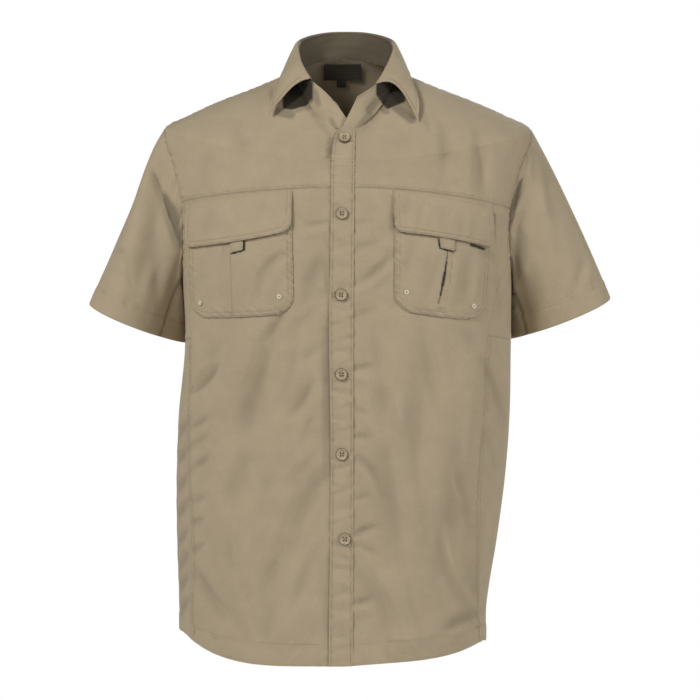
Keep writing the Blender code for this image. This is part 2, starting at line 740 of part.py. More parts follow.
def make_fronts():
    """Two fronts, each an upper and a lower part that meet at the chest seam."""
    last = len(LEVELS) - 1
    for side in ("left", "right"):
        flip = side == "left"
        for part, first, end in (("upper", 0, CHEST_ROW), ("lower", CHEST_ROW, last)):
            grid = front_grid(side, first, end)
            neck = [neck_pull(a) for a in front_angles(0, side)] if first == 0 else HALF_GAP
            inset(
                grid,
                top=neck,
                low=0.0 if end == last else HALF_GAP,
                end=arm_pulls(first, end, side, "front"),
            )
            extra = hem_extra(first, BAND_COLUMNS if side == "right" else 0)
            wall(f"front_{side}_{part}", grid, CLOTH_FINISH, inner_extra=extra, flip=flip)


def make_backs():
    """The yoke over the shoulders, and the back below it."""
    last = len(LEVELS) - 1
    for name, first, end in (("back_yoke", 0, YOKE_ROW), ("back_panel", YOKE_ROW, last)):
        grid = back_grid(first, end)
        neck = HALF_GAP
        if first == 0:
            start, finish = ARM_ANGLE, 360 - ARM_ANGLE
            turns = [start + (finish - start) * i / BACK_COLUMNS for i in range(BACK_COLUMNS + 1)]
            neck = [neck_pull(a) for a in turns]
        inset(
            grid,
            top=neck,
            low=0.0 if end == last else HALF_GAP,
            start=arm_pulls(first, end, "right", "back"),
            end=arm_pulls(first, end, "left", "back"),
        )
        wall(name, grid, CLOTH_FINISH, inner_extra=hem_extra(first))


def make_sides():
    """On each side a vent panel under the arm and a side panel below it."""
    last = len(LEVELS) - 1
    for side in ("left", "right"):
        flip = side == "left"
        vent = side_grid(side, SEAM_ROW, VENT_ROW)
        arc = [arm_pull(k, side) for k in range(SIDE_SEAM_STEP, ARM_STEPS - SIDE_SEAM_STEP + 1)]
        inset(vent, top=arc, low=HALF_GAP, start=HALF_GAP, end=HALF_GAP)
        wall(f"side_vent_{side}", vent, CLOTH_FINISH, flip=flip)
        skirt = side_grid(side, VENT_ROW, last)
        inset(skirt, top=HALF_GAP, start=HALF_GAP, end=HALF_GAP)
        wall(f"side_panel_{side}", skirt, CLOTH_FINISH, inner_extra=hem_extra(VENT_ROW), flip=flip)


def make_sleeves():
    """Two tubes, from the armholes to the cuffs, with the hems turned up inside."""
    for side in ("left", "right"):
        grid = []
        for row in range(SLEEVE_ROWS + 1):
            along = row / SLEEVE_ROWS
            line = []
            for step in range(ARM_STEPS):
                turn = step * 360 / ARM_STEPS
                line.append((sleeve(turn, along, side), sleeve_normal(turn, along, side)))
            grid.append(line)
        for step in range(ARM_STEPS):
            column = [grid[0][step], grid[1][step]]
            draw_in(column, arm_pull(step, side))
            grid[0][step] = column[0]

        def extra(row, column):
            return HEM_EXTRA if row >= SLEEVE_ROWS - 1 else 0.0

        wall(f"sleeve_{side}", grid, CLOTH_FINISH, inner_extra=extra, closed=True, flip=side == "right")


def station_point(angle, which):
    """The collar's fold or free edge at an angle, -180 to 180, smooth between its stations."""
    table = COLLAR_RIGHT if angle >= 0 else COLLAR_LEFT
    places = [Place(s.angle, *getattr(s, which)) for s in table if getattr(s, which)]
    mirror = places[-2]
    places.append(Place(360 - mirror.angle, -mirror.x, mirror.y, mirror.z))
    return Vector([between(places, abs(angle), "angle", c) for c in ("x", "y", "z")])


def neck_angles():
    """Angles round the neck, from the left front's edge over the back to the right front's edge, the
    same as those of the panels below."""
    right = front_angles(0, "right")
    left = front_angles(0, "left")
    start, end = ARM_ANGLE, 360 - ARM_ANGLE
    back = [start + (end - start) * i / BACK_COLUMNS for i in range(1, BACK_COLUMNS)]
    return right + back + [360 + a for a in left[::-1]]


def collar_angle(angle):
    """An angle that runs from 0 to 360 round the neck, as -180 to 180."""
    return angle - 360 if angle > 180 else angle


def stand_frame(angle):
    """The stand's foot, its top and its outward normal at an angle that runs 0 to 360. Near the front
    ends the top runs ahead of the foot, out to the ends of the fold."""
    signed = collar_angle(angle)
    right_end, left_end = front_angles(0, "right")[0], front_angles(0, "left")[0]
    foot = body(signed, 0, 0.0 if angle < STAND_LAP_FROM else -UNDERLAP_SINK)
    over = signed
    if angle < STAND_END_SPAN:
        over = STAND_END_SPAN * (angle - right_end) / (STAND_END_SPAN - right_end)
    if angle > 360 - STAND_END_SPAN:
        away = 360 + left_end - angle
        over = -STAND_END_SPAN * away / (left_end + STAND_END_SPAN)
    table_side = -1 if angle > 180 else 1
    top = station_point(table_side * max(abs(over), 0.001), "fold")
    ahead = body(signed + 4, 0) - body(signed - 4, 0)
    return foot, top, ahead.cross(top - foot).normalized()


def make_stand():
    """The collar's stand, a band that rises from the neck seam."""
    angles = neck_angles()
    grid = [[] for _ in range(STAND_ROWS + 1)]
    for angle in angles:
        foot, top, normal = stand_frame(angle)
        for row in range(STAND_ROWS + 1):
            grid[row].append((foot.lerp(top, row / STAND_ROWS), normal))
    inset(grid, top=[stand_pull(a) for a in angles])
    grid.reverse()
    wall("collar_stand", grid, CLOTH_FINISH, thick=FIRM_CLOTH)


def leaf_angles():
    """The neck's angles from one end of the collar leaf to the other."""
    angles = neck_angles()
    from_right = min(s.angle for s in COLLAR_RIGHT if s.edge)
    to_left = 360 - min(s.angle for s in COLLAR_LEFT if s.edge)
    first = min(angles, key=lambda a: abs(a - from_right))
    last = min(angles, key=lambda a: abs(a - to_left))
    return [a for a in angles if first <= a <= last]


def collar_line(angle):
    """The collar's section at an angle: up from the stand, over the roll and down to the free edge.
    Also gives the normal of its first point, which is the stand's."""
    foot, fold, outward = stand_frame(angle)
    edge = station_point(collar_angle(angle), "edge")
    rise = (fold - foot).normalized()
    start = fold + rise * SEAM_GAP
    points = []
    for turn in range(0, 181, 45):
        a = math.radians(turn)
        points.append(start + outward * COLLAR_ROLL * (1 - math.cos(a)) + rise * COLLAR_ROLL * math.sin(a))
    last = points[-1]
    for i in range(1, COLLAR_DROP_ROWS + 1):
        share = i / COLLAR_DROP_ROWS
        points.append(last.lerp(edge, share) + outward * (COLLAR_BULGE * 4 * share * (1 - share)))
    return points, -outward


def make_collar():
    """The collar leaf, from one point round the back of the neck to the other."""
    lines, starts = zip(*(collar_line(a) for a in leaf_angles()))
    rows, columns = len(lines[0]), len(lines)
    grid = []
    for i in range(rows):
        line = []
        for j in range(columns):
            round_it = lines[min(j + 1, columns - 1)][i] - lines[max(j - 1, 0)][i]
            down_it = lines[j][min(i + 1, rows - 1)] - lines[j][max(i - 1, 0)]
            normal = starts[j] if i == 0 else down_it.cross(round_it).normalized()
            line.append((lines[j][i], normal))
        grid.append(line)
    wall("collar_leaf", grid, CLOTH_FINISH, thick=FIRM_CLOTH)


def make_band():
    """The button band, three of the right front's columns moved out."""
    grid = []
    for row, level in enumerate(LEVELS):
        angles = front_angles(row, "right")[:BAND_COLUMNS]
        lift = CLOTH + LAYER_GAP
        grid.append([(body(a, level, lift), body_normal(a, level)) for a in angles])
    neck = [neck_pull(a) + BAND_NECK_EXTRA for a in front_angles(0, "right")[:BAND_COLUMNS]]
    inset(grid, top=neck)
    wall("button_band", grid, CLOTH_FINISH)


def patch_point(patch, across, down):
    """(x, z) on a patch."""
    top = [a + (b - a) * across for a, b in zip(patch.top_left, patch.top_right)]
    low = [a + (b - a) * across for a, b in zip(patch.low_left, patch.low_right)]
    x, z = [a + (b - a) * down for a, b in zip(top, low)]
    return x, z - patch.sag * 4 * across * (1 - across) * down


def patch_share(patch, x, z):
    """(across, down) of a point, near enough for a patch whose edges are almost straight."""
    across, down = 0.5, 0.5
    for _ in range(4):
        left = patch.top_left[0] + (patch.low_left[0] - patch.top_left[0]) * down
        right = patch.top_right[0] + (patch.low_right[0] - patch.top_right[0]) * down
        across = (x - left) / (right - left)
        top, low = patch_point(patch, across, 0)[1], patch_point(patch, across, 1)[1]
        down = (z - top) / (low - top)
    return across, down


def patch_grid(patch, lift, stretches, rows, inner_knots=None):
    """A patch that lies on the front, its lower corners rounded. lift(x, z, across, down) is its height
    over the body's cloth. inner_knots(down) gives across-shares between its sides, and stretches holds
    how many columns there are from each knot to the next."""
    width = math.dist(patch.top_left, patch.top_right)
    tall = math.dist(patch.top_left, patch.low_left)
    radius = patch.corner
    straight = 1 - radius / tall
    straight_rows = rows - len(CORNER_TURNS)
    downs = [straight * i / straight_rows for i in range(straight_rows + 1)]
    downs += [straight + radius / tall * math.sin(math.radians(a)) for a in CORNER_TURNS]
    grid = []
    for down in downs:
        from_foot = (1 - down) * tall
        cut = 0.0
        if from_foot < radius:
            cut = (radius - math.sqrt(max(radius**2 - (radius - from_foot) ** 2, 0))) / width
        knots = [cut] + (inner_knots(down) if inner_knots else []) + [1 - cut]
        shares = [cut]
        for i, count in enumerate(stretches):
            shares += [knots[i] + (knots[i + 1] - knots[i]) * j / count for j in range(1, count + 1)]
        line = []
        for across in shares:
            x, z = patch_point(patch, across, down)
            angle, level = spot(x, z)
            line.append((body(angle, level, lift(x, z, across, down)), body_normal(angle, level)))
        grid.append(line)
    return grid


def pleat_edge(side, down):
    """The across-share of the pleat's edge."""
    pleat = PLEATS[side]
    return pleat.top + (pleat.foot - pleat.top) * down


def pocket_rise(side, x, z, pleated=True):
    """How far the pocket's cloth stands off the front's at a point, with its pleat's step."""
    across, down = patch_share(POCKETS[side], x, z)
    across, down = min(max(across, 0), 1), min(max(down, 0), 1)
    bulge = POCKET_BULGE * math.sin(math.pi * across) * math.sin(math.pi * down) ** 0.7
    pleat = PLEATS[side]
    past = (across - pleat_edge(side, down)) / pleat.ramp
    step = pleat.step * (1 - past) * math.sin(math.pi * down) if pleated and 0 <= past <= 1 else 0.0
    return POCKET_LIFT + bulge - step


def make_pockets():
    """Pockets that stand a little off the front, each with a pleat, their flaps, and the tabs between."""
    for side in ("left", "right"):
        pleat = PLEATS[side]

        def pocket_lift(x, z, across, down):
            return pocket_rise(side, x, z)

        def pleat_knots(down):
            edge = pleat_edge(side, down)
            return sorted([edge - PLEAT_EDGE, edge + PLEAT_EDGE, edge + pleat.ramp])

        def flap_lift(x, z, across, down):
            over_pocket = pocket_rise(side, x, z, False) + CLOTH + LAYER_GAP + FLAP_FLARE * down**2
            on_front = CLOTH + LAYER_GAP
            return on_front + (over_pocket - on_front) * ease(down / FLAP_RISE)

        def tab_lift(x, z, across, down):
            return pocket_rise(side, x, z, False) + (CLOTH + TAB_THICK) / 2 + LAYER_GAP * 1.5

        pocket = patch_grid(POCKETS[side], pocket_lift, pleat.stretches, POCKET_ROWS, pleat_knots)
        wall(f"pocket_{side}", pocket, CLOTH_FINISH)
        flap = patch_grid(FLAPS[side], flap_lift, [FLAP_COLUMNS], FLAP_ROWS)
        wall(f"pocket_flap_{side}", flap, CLOTH_FINISH)
        tab = patch_grid(TABS[side], tab_lift, [TAB_COLUMNS], TAB_ROWS)
        wall(f"flap_tab_{side}", tab, CLOTH_FINISH, thick=TAB_THICK)


def frame_at(point, normal):
    """A placement with its Z along a normal."""
    turn = normal.to_track_quat("Z", "Y").to_matrix().to_4x4()
    return Matrix.Translation(point) @ turn


def turned(name, profile, segments, finish, placement):
    """A turned solid: a profile of (radius, height) from the axis at the foot to the axis at the top."""
    points = [Vector((0, 0, profile[0][1]))]
    for radius, height in profile[1:-1]:
        for i in range(segments):
            a = 2 * math.pi * i / segments
            points.append(Vector((radius * math.cos(a), radius * math.sin(a), height)))
    points.append(Vector((0, 0, profile[-1][1])))
    rings = len(profile) - 2
    faces = [(0, 1 + (i + 1) % segments, 1 + i) for i in range(segments)]
    for r in range(rings - 1):
        for i in range(segments):
            k = (i + 1) % segments
            a = 1 + r * segments
            faces.append((a + i, a + k, a + segments + k, a + segments + i))
    last = 1 + (rings - 1) * segments
    faces += [(last + i, last + (i + 1) % segments, len(points) - 1) for i in range(segments)]
    thing = add_object(name, points, faces, finish)
    thing.matrix_world = placement
    return thing


def make_buttons():
    """Six buttons, dished in the middle, on the band."""
    r, t = BUTTON_RADIUS, BUTTON_THICK
    profile = [
        (0, 0),
        (r * 0.7, 0),
        (r, t * 0.45),
        (r * 0.96, t * 0.85),
        (r * 0.84, t),
        (r * 0.62, t * 0.7),
        (0, t * 0.6),
    ]
    lift = CLOTH / 2 + LAYER_GAP + CLOTH + BUTTON_GAP
    for number, place in enumerate(BUTTONS, 1):
        angle, level = spot(place.x, place.z)
        normal = body_normal(angle, level)
        placement = frame_at(body(angle, level, lift), normal)
        turned(f"button_{number}", profile, BUTTON_SIDES, ("button_brown", BUTTON_BROWN), placement)


def back_spot(x, z):
    """(angle, level) on the back at an x and a z."""
    low, high = 0.0, ARM_LOW
    for _ in range(30):
        level = (low + high) / 2
        ring = ring_at(level)
        angle = 180 - math.degrees(math.asin(max(min(x / ring.right, 0.9), -0.9)))
        if bare_body(angle, level).z > z:
            low = level
        else:
            high = level
    return angle, level


def inside_patch(name, size, rows):
    """A small upright patch on the inside of the back."""
    lift = CLOTH / 2 + LABEL_GAP + LABEL_THICK / 2
    grid = []
    for row in range(rows):
        z = size["top"] + (size["low"] - size["top"]) * row / (rows - 1)
        line = []
        for column in range(LABEL_COLUMNS + 1):
            x = size["x"] + size["width"] * (column / LABEL_COLUMNS - 0.5)
            angle, level = back_spot(x, z)
            line.append((body(angle, level, -lift), body_normal(angle, level)))
        grid.append(line)
    return wall(name, grid, ("label_weave", LABEL_BLACK), thick=LABEL_THICK, flip=True)


def make_labels():
    """A bare woven label and a bare size tab below it, on the yoke's inner side."""
    for name, size, rows in (("neck_label", LABEL, 4), ("size_tab", SIZE_TAB, 3)):
        inside_patch(name, size, rows)


def main():
    """Builds every piece."""
    clear_scene()
    make_fronts()
    make_backs()
    make_sides()
    make_sleeves()
    make_stand()
    make_collar()
    make_band()
    make_pockets()
    make_buttons()
    make_labels()


main()
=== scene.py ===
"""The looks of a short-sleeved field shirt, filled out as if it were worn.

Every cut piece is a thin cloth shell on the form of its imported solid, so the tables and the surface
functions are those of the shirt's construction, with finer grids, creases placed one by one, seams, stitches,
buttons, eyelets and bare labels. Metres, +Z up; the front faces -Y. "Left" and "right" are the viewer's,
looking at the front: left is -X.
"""

import math
from collections import namedtuple

import bpy
import numpy as np
from mathutils import Matrix, Vector, noise


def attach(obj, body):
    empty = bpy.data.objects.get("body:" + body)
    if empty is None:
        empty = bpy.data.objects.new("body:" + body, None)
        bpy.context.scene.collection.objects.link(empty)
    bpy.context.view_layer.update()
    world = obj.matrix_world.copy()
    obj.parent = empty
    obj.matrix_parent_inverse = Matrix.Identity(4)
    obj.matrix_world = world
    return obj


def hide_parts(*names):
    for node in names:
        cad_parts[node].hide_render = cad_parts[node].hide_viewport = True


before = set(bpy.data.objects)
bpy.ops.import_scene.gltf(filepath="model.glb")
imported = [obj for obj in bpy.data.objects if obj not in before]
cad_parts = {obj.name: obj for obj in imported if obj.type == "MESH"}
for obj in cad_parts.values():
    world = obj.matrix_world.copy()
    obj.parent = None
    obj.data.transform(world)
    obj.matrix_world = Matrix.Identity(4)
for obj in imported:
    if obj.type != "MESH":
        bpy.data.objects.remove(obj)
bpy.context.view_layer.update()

# The cloth. Its outer face is where the solid's is; the shell is thinner than the solid's wall. What lies
# on another piece is a LAYER off it, and an edge that goes under its neighbour is ALLOWANCE wide there.
OUTER_FACE = 0.0007
SHELL = 0.0008
FIRM_OUTER_FACE = 0.0009
LAYER = 0.0018
CELL = 0.0045
FRONT_CELL = 0.0026
ALLOWANCE = 0.006
UNDER = 0.0011
BODY_HEM = 0.021
SLEEVE_HEM = 0.030

# The shirt's body. "level" is the way down from the neck seam, along the shoulder and then the side.
Ring = namedtuple(
    "Ring",
    "level left right front back z_left z_right z_front z_back square seam_left seam_right tail hitch",
    defaults=(0, 0),
)
RINGS = [
    Ring(0, 0.07, 0.07, 0.092, 0.056, 0.003, 0.003, -0.078, 0.027, 2.1, 68, 68),
    Ring(0.047, 0.117, 0.117, 0.098, 0.072, -0.017, -0.017, -0.086, 0.008, 2.2, 68, 68),
    Ring(0.098, 0.166, 0.166, 0.104, 0.088, -0.036, -0.036, -0.096, -0.018, 2.3, 68, 68),
    Ring(0.141, 0.2035, 0.2055, 0.11, 0.097, -0.0535, -0.0535, -0.106, -0.044, 2.4, 68, 68),
    Ring(0.182, 0.2352, 0.2404, 0.115, 0.103, -0.072, -0.074, -0.118, -0.073, 2.5, 68, 68),
    Ring(0.23, 0.2345, 0.237, 0.12, 0.108, -0.117, -0.121, -0.134, -0.113, 2.6, 68, 68),
    Ring(0.277, 0.227, 0.2265, 0.124, 0.112, -0.175, -0.186, -0.153, -0.163, 2.7, 68, 68),
    Ring(0.344, 0.216, 0.2175, 0.128, 0.115, -0.237, -0.239, -0.219, -0.229, 2.7, 68, 67),
    Ring(0.372, 0.2115, 0.2145, 0.129, 0.114, -0.264, -0.264, -0.248, -0.256, 2.7, 67, 60),
    Ring(0.45, 0.2075, 0.213, 0.13, 0.112, -0.345, -0.345, -0.33, -0.338, 2.7, 64, 51),
    Ring(0.545, 0.216, 0.2115, 0.131, 0.108, -0.44, -0.44, -0.428, -0.436, 2.7, 59, 49),
    Ring(0.625, 0.219, 0.2055, 0.13, 0.106, -0.52, -0.52, -0.512, -0.518, 2.7, 56, 48),
    Ring(0.705, 0.2185, 0.195, 0.129, 0.108, -0.6, -0.6, -0.598, -0.602, 2.6, 55, 52),
    Ring(0.785, 0.216, 0.182, 0.127, 0.112, -0.676, -0.683, -0.691, -0.696, 2.6, 57, 59, 0.6, 0.01),
    Ring(0.835, 0.215, 0.1805, 0.125, 0.115, -0.719, -0.735, -0.756, -0.768, 2.5, 58, 64, 1, 0.014),
]
TAIL_FROM = 0.30
TAIL_SPAN = 0.65
HEM_LEVEL = RINGS[-1].level

# Shade in the grooves of seams and beside what lies on the cloth: how far it reaches and how dark it is.
OVER_SHADE = (0.0006, 0.10)
UNDER_SHADE = (0.0006, 0.16)
HEM_SHADE = (0.0006, 0.12)
SEAM_SHADE = (0.0006, 0.10)
BAND_SHADE = (0.0010, 0.32)
BAND_STITCH_SHADE = (0.0006, 0.05)
CONTACTS = {"pocket": (0.0007, 0.14), "flap": (0.0006, 0.80), "tab": (0.0006, 0.30)}
# The shade beside a patch starts just outside its edge, from points a step apart, is looked for near it, and
# is weaker on the patch's side away from the shirt's middle.
CONTACT_OUT = 0.0003
CONTACT_STEP = 0.001
CONTACT_NEAR = 0.01
CONTACT_OUTER = 0.45
CONTACT_TURN = 0.6

# The armhole: an oval in angle and level. Seams end at its steps, counted from its top over the front.
ARM_ANGLE = 87.0
ARM_SPREAD = 27.0
ARM_TOP = 0.182
ARM_LOW = 0.372
ARM_STEPS = 32
SIDE_SEAM_STEP = 12
CHEST_STEP = 8
YOKE_STEP = 6

# Seams, as what they do to the cloth beside them. A felled seam is a thicker strip with two rows of
# stitches pulled in, its other side goes under, and a hem is thicker up to its row of stitches.
SEAM_TICKS = (0.0, 0.0007, 0.0013, 0.0019, 0.0025, 0.0034, 0.0046, 0.0053, 0.0059, 0.0065, 0.0078, 0.0098)
# A row narrower than so many times the last tick has its ticks squeezed.
TICKS_NEED = 2.4
SEAM_STITCHES = (0.0019, 0.0059)
SEAM_EDGE = 0.0012
SEAM_SINK = 0.0005
FELL_RISE = 0.0003
FELL_START = 0.0008
FELL_WIDE, FELL_FADE = 0.0065, 0.0020
STITCH_PULL, STITCH_WIDE = 0.0003, 0.0007
TUCK_SINK, TUCK_PUCKERS = 0.0004, 0.014
HEM_RISE = 0.0006
HEM_EDGE = 0.0016
HEM_STITCH_IN, HEM_STITCH_WIDE = 0.0008, 0.0010
# A wide hem twists between its edge and its stitches, in slanted ropes.
ROPING_RISE = 0.0006
ROPING_FROM, ROPING_REACH = 0.6, 0.014
ROPING_SLANT, ROPING_WAVE = 0.7, 0.017
# Turned edges with stitches: how deep the edge rounds off and from where, and how far its stitches pull.
TurnedEdge = namedtuple("TurnedEdge", "sink reach pull wide")
PATCH_EDGE = TurnedEdge(0.0006, 0.0012, 0.0004, 0.0008)
TAB_EDGE = TurnedEdge(0.0003, 0.0012, 0.0002, 0.0008)
LEAF_EDGE = TurnedEdge(0.0006, 0.0014, 0.0004, 0.0012)
BAND_EDGE = TurnedEdge(0.0006, 0.0012, 0.0005, 0.0010)
# The cloth's slight unevenness, in waves of two lengths.
DRIFT = 0.0007
DRIFT_WAVE, DRIFT_FINE_WAVE = 0.035, 0.016

# The body's rows, from the neck to the hem. Between two of them there are several finer ones.
SHOULDER_ROWS = 4
VENT_LEVEL = 0.450
VENT_ROWS = 3
SKIRT_ROWS = 14
CHEST_ROW = SHOULDER_ROWS + CHEST_STEP
YOKE_ROW = SHOULDER_ROWS + YOKE_STEP
SEAM_ROW = SHOULDER_ROWS + SIDE_SEAM_STEP
ARM_LOW_ROW = SHOULDER_ROWS + ARM_STEPS // 2
VENT_ROW = ARM_LOW_ROW + VENT_ROWS
LAST_ROW = VENT_ROW + SKIRT_ROWS
# At the armhole, rows are further apart on the cloth than their levels say.
ARM_ROW_TALL = 0.018
# Panels' widths, to set how many columns they get, and how much longer their curve is than straight.
FRONT_WIDE, BACK_WIDE, SIDE_WIDE = 0.20, 0.40, 0.12
PANEL_ROUND = 1.06
SIDE_COLUMNS = 64
# Creases of the front shade the side panels too, and fade over this depth.
FRONT_REACH = 0.04
# How often a search for an angle or a level halves its range.
ANGLE_HALVINGS, LEVEL_HALVINGS = 27, 22

# The button band lies on the right front's edge. x of its edges, by height.
Band = namedtuple("Band", "z outer inner")
BAND = [
    Band(-0.078, -0.006, 0.0112), Band(-0.086, -0.0128, 0.0112), Band(-0.104, -0.0163, 0.011),
    Band(-0.12, -0.0176, 0.0107), Band(-0.25, -0.0192, 0.0097), Band(-0.33, -0.0206, 0.0092),
    Band(-0.5, -0.0187, 0.0092), Band(-0.758, -0.0215, 0.0085),
]

# The left front's edge lies under the band: how far it does, and how softly it comes up beside it.
BAND_LAP, BAND_LAP_FADE = 0.016, 0.012

# Folds, each a soft trough or ridge from one end to the other, seen from its side. "bow" bends its line
# sideways and "lean" makes one flank steeper. A fold is shallower at its ends, and fades at the sides.
Fold = namedtuple("Fold", "x0 z0 x1 z1 width depth bow lean", defaults=(0, 0))
FOLD_ENDS = 0.35
FOLDS_FADE_AT_SIDE = 0.35
# Strokes of shade, and dark hollows with clear edges. "width" is half a stroke's own, and a hollow's
# corners run clockwise.
Shade = namedtuple("Shade", "x0 z0 x1 z1 width dark")
Gap = namedtuple("Gap", "corners fade dark")

# Where the photograph's middle pixel falls, and metres a pixel on the front, the sides and the sleeves.
PHOTO_MIDDLE = 350
PHOTO_X, PHOTO_Z = 0.0052, -0.3575
FRONT_SCALE, SIDE_SCALE, SLEEVE_SCALE = 0.001259, 0.001300, 0.001280


def at_pixel(px, py, scale):
    """(x, z) of the cloth that a pixel of the photograph shows."""
    return PHOTO_X + (px - PHOTO_MIDDLE) * scale, PHOTO_Z + (PHOTO_MIDDLE - py) * scale


def photo_folds(scale, rows):
    """Folds from rows read off the photograph: both ends and the half width in pixels, the depth in
    millimetres and, where they aren't nought, the bow in pixels and the lean."""
    found = []
    for start_x, start_y, end_x, end_y, width, depth, *rest in rows:
        bow, lean = (rest + [0, 0])[:2]
        ends = at_pixel(start_x, start_y, scale) + at_pixel(end_x, end_y, scale)
        found.append(Fold(*ends, width * scale, depth / 1000, bow * scale, lean))
    return found


def photo_shades(scale, rows):
    """Strokes of shade from rows of pixels: both ends, half the width, and how dark it is, 0 to 1."""
    found = []
    for start_x, start_y, end_x, end_y, width, dark in rows:
        ends = at_pixel(start_x, start_y, scale) + at_pixel(end_x, end_y, scale)
        found.append(Shade(*ends, width * scale, dark))
    return found


def photo_gaps(scale, rows):
    """Dark hollows from rows of how softly the edge fades, in metres, how dark it is, and the corners in
    pixels, clockwise."""
    return [Gap([at_pixel(px, py, scale) for px, py in corners], fade, dark) for fade, dark, *corners in rows]


FRONT_FOLDS = [
    Fold(-0.075, -0.33, -0.15, -0.48, 0.024, -0.007), Fold(-0.11, -0.32, -0.165, -0.43, 0.018, 0.004),
    Fold(-0.165, -0.375, -0.2, -0.405, 0.012, -0.0045), Fold(-0.04, -0.3, -0.06, -0.34, 0.012, -0.004),
    Fold(-0.045, -0.4, -0.07, -0.44, 0.014, -0.005), Fold(-0.03, -0.48, -0.11, -0.69, 0.026, -0.007),
    Fold(-0.15, -0.5, -0.12, -0.7, 0.026, 0.0045), Fold(-0.175, -0.65, -0.13, -0.72, 0.016, -0.005),
    Fold(0.115, -0.345, 0.085, -0.52, 0.024, -0.0065), Fold(0.06, -0.37, 0.055, -0.56, 0.024, 0.005),
    Fold(0.03, -0.52, 0.045, -0.72, 0.022, -0.0055), Fold(0.115, -0.56, 0.12, -0.7, 0.022, -0.005),
    Fold(0.15, -0.4, 0.135, -0.56, 0.02, 0.0045), Fold(0.06, -0.73, 0.15, -0.705, 0.014, 0.0045),
    Fold(0.122, -0.085, 0.132, -0.16, 0.014, -0.005), Fold(0.168, -0.08, 0.175, -0.16, 0.012, -0.0045),
    Fold(-0.12, -0.08, -0.125, -0.14, 0.016, -0.003),
]
BACK_FOLDS = [
    Fold(-0.12, -0.2, -0.09, -0.42, 0.024, -0.007), Fold(0.11, -0.19, 0.095, -0.38, 0.022, -0.0065),
    Fold(-0.03, -0.3, -0.06, -0.56, 0.028, 0.0055), Fold(0.04, -0.36, 0.07, -0.64, 0.026, -0.006),
    Fold(-0.13, -0.48, -0.11, -0.7, 0.024, -0.006), Fold(0.13, -0.5, 0.12, -0.69, 0.022, 0.005),
    Fold(0, -0.56, -0.01, -0.74, 0.024, -0.005), Fold(-0.16, -0.11, -0.11, -0.19, 0.016, -0.004),
    Fold(0.165, -0.12, 0.12, -0.18, 0.016, -0.004),
]

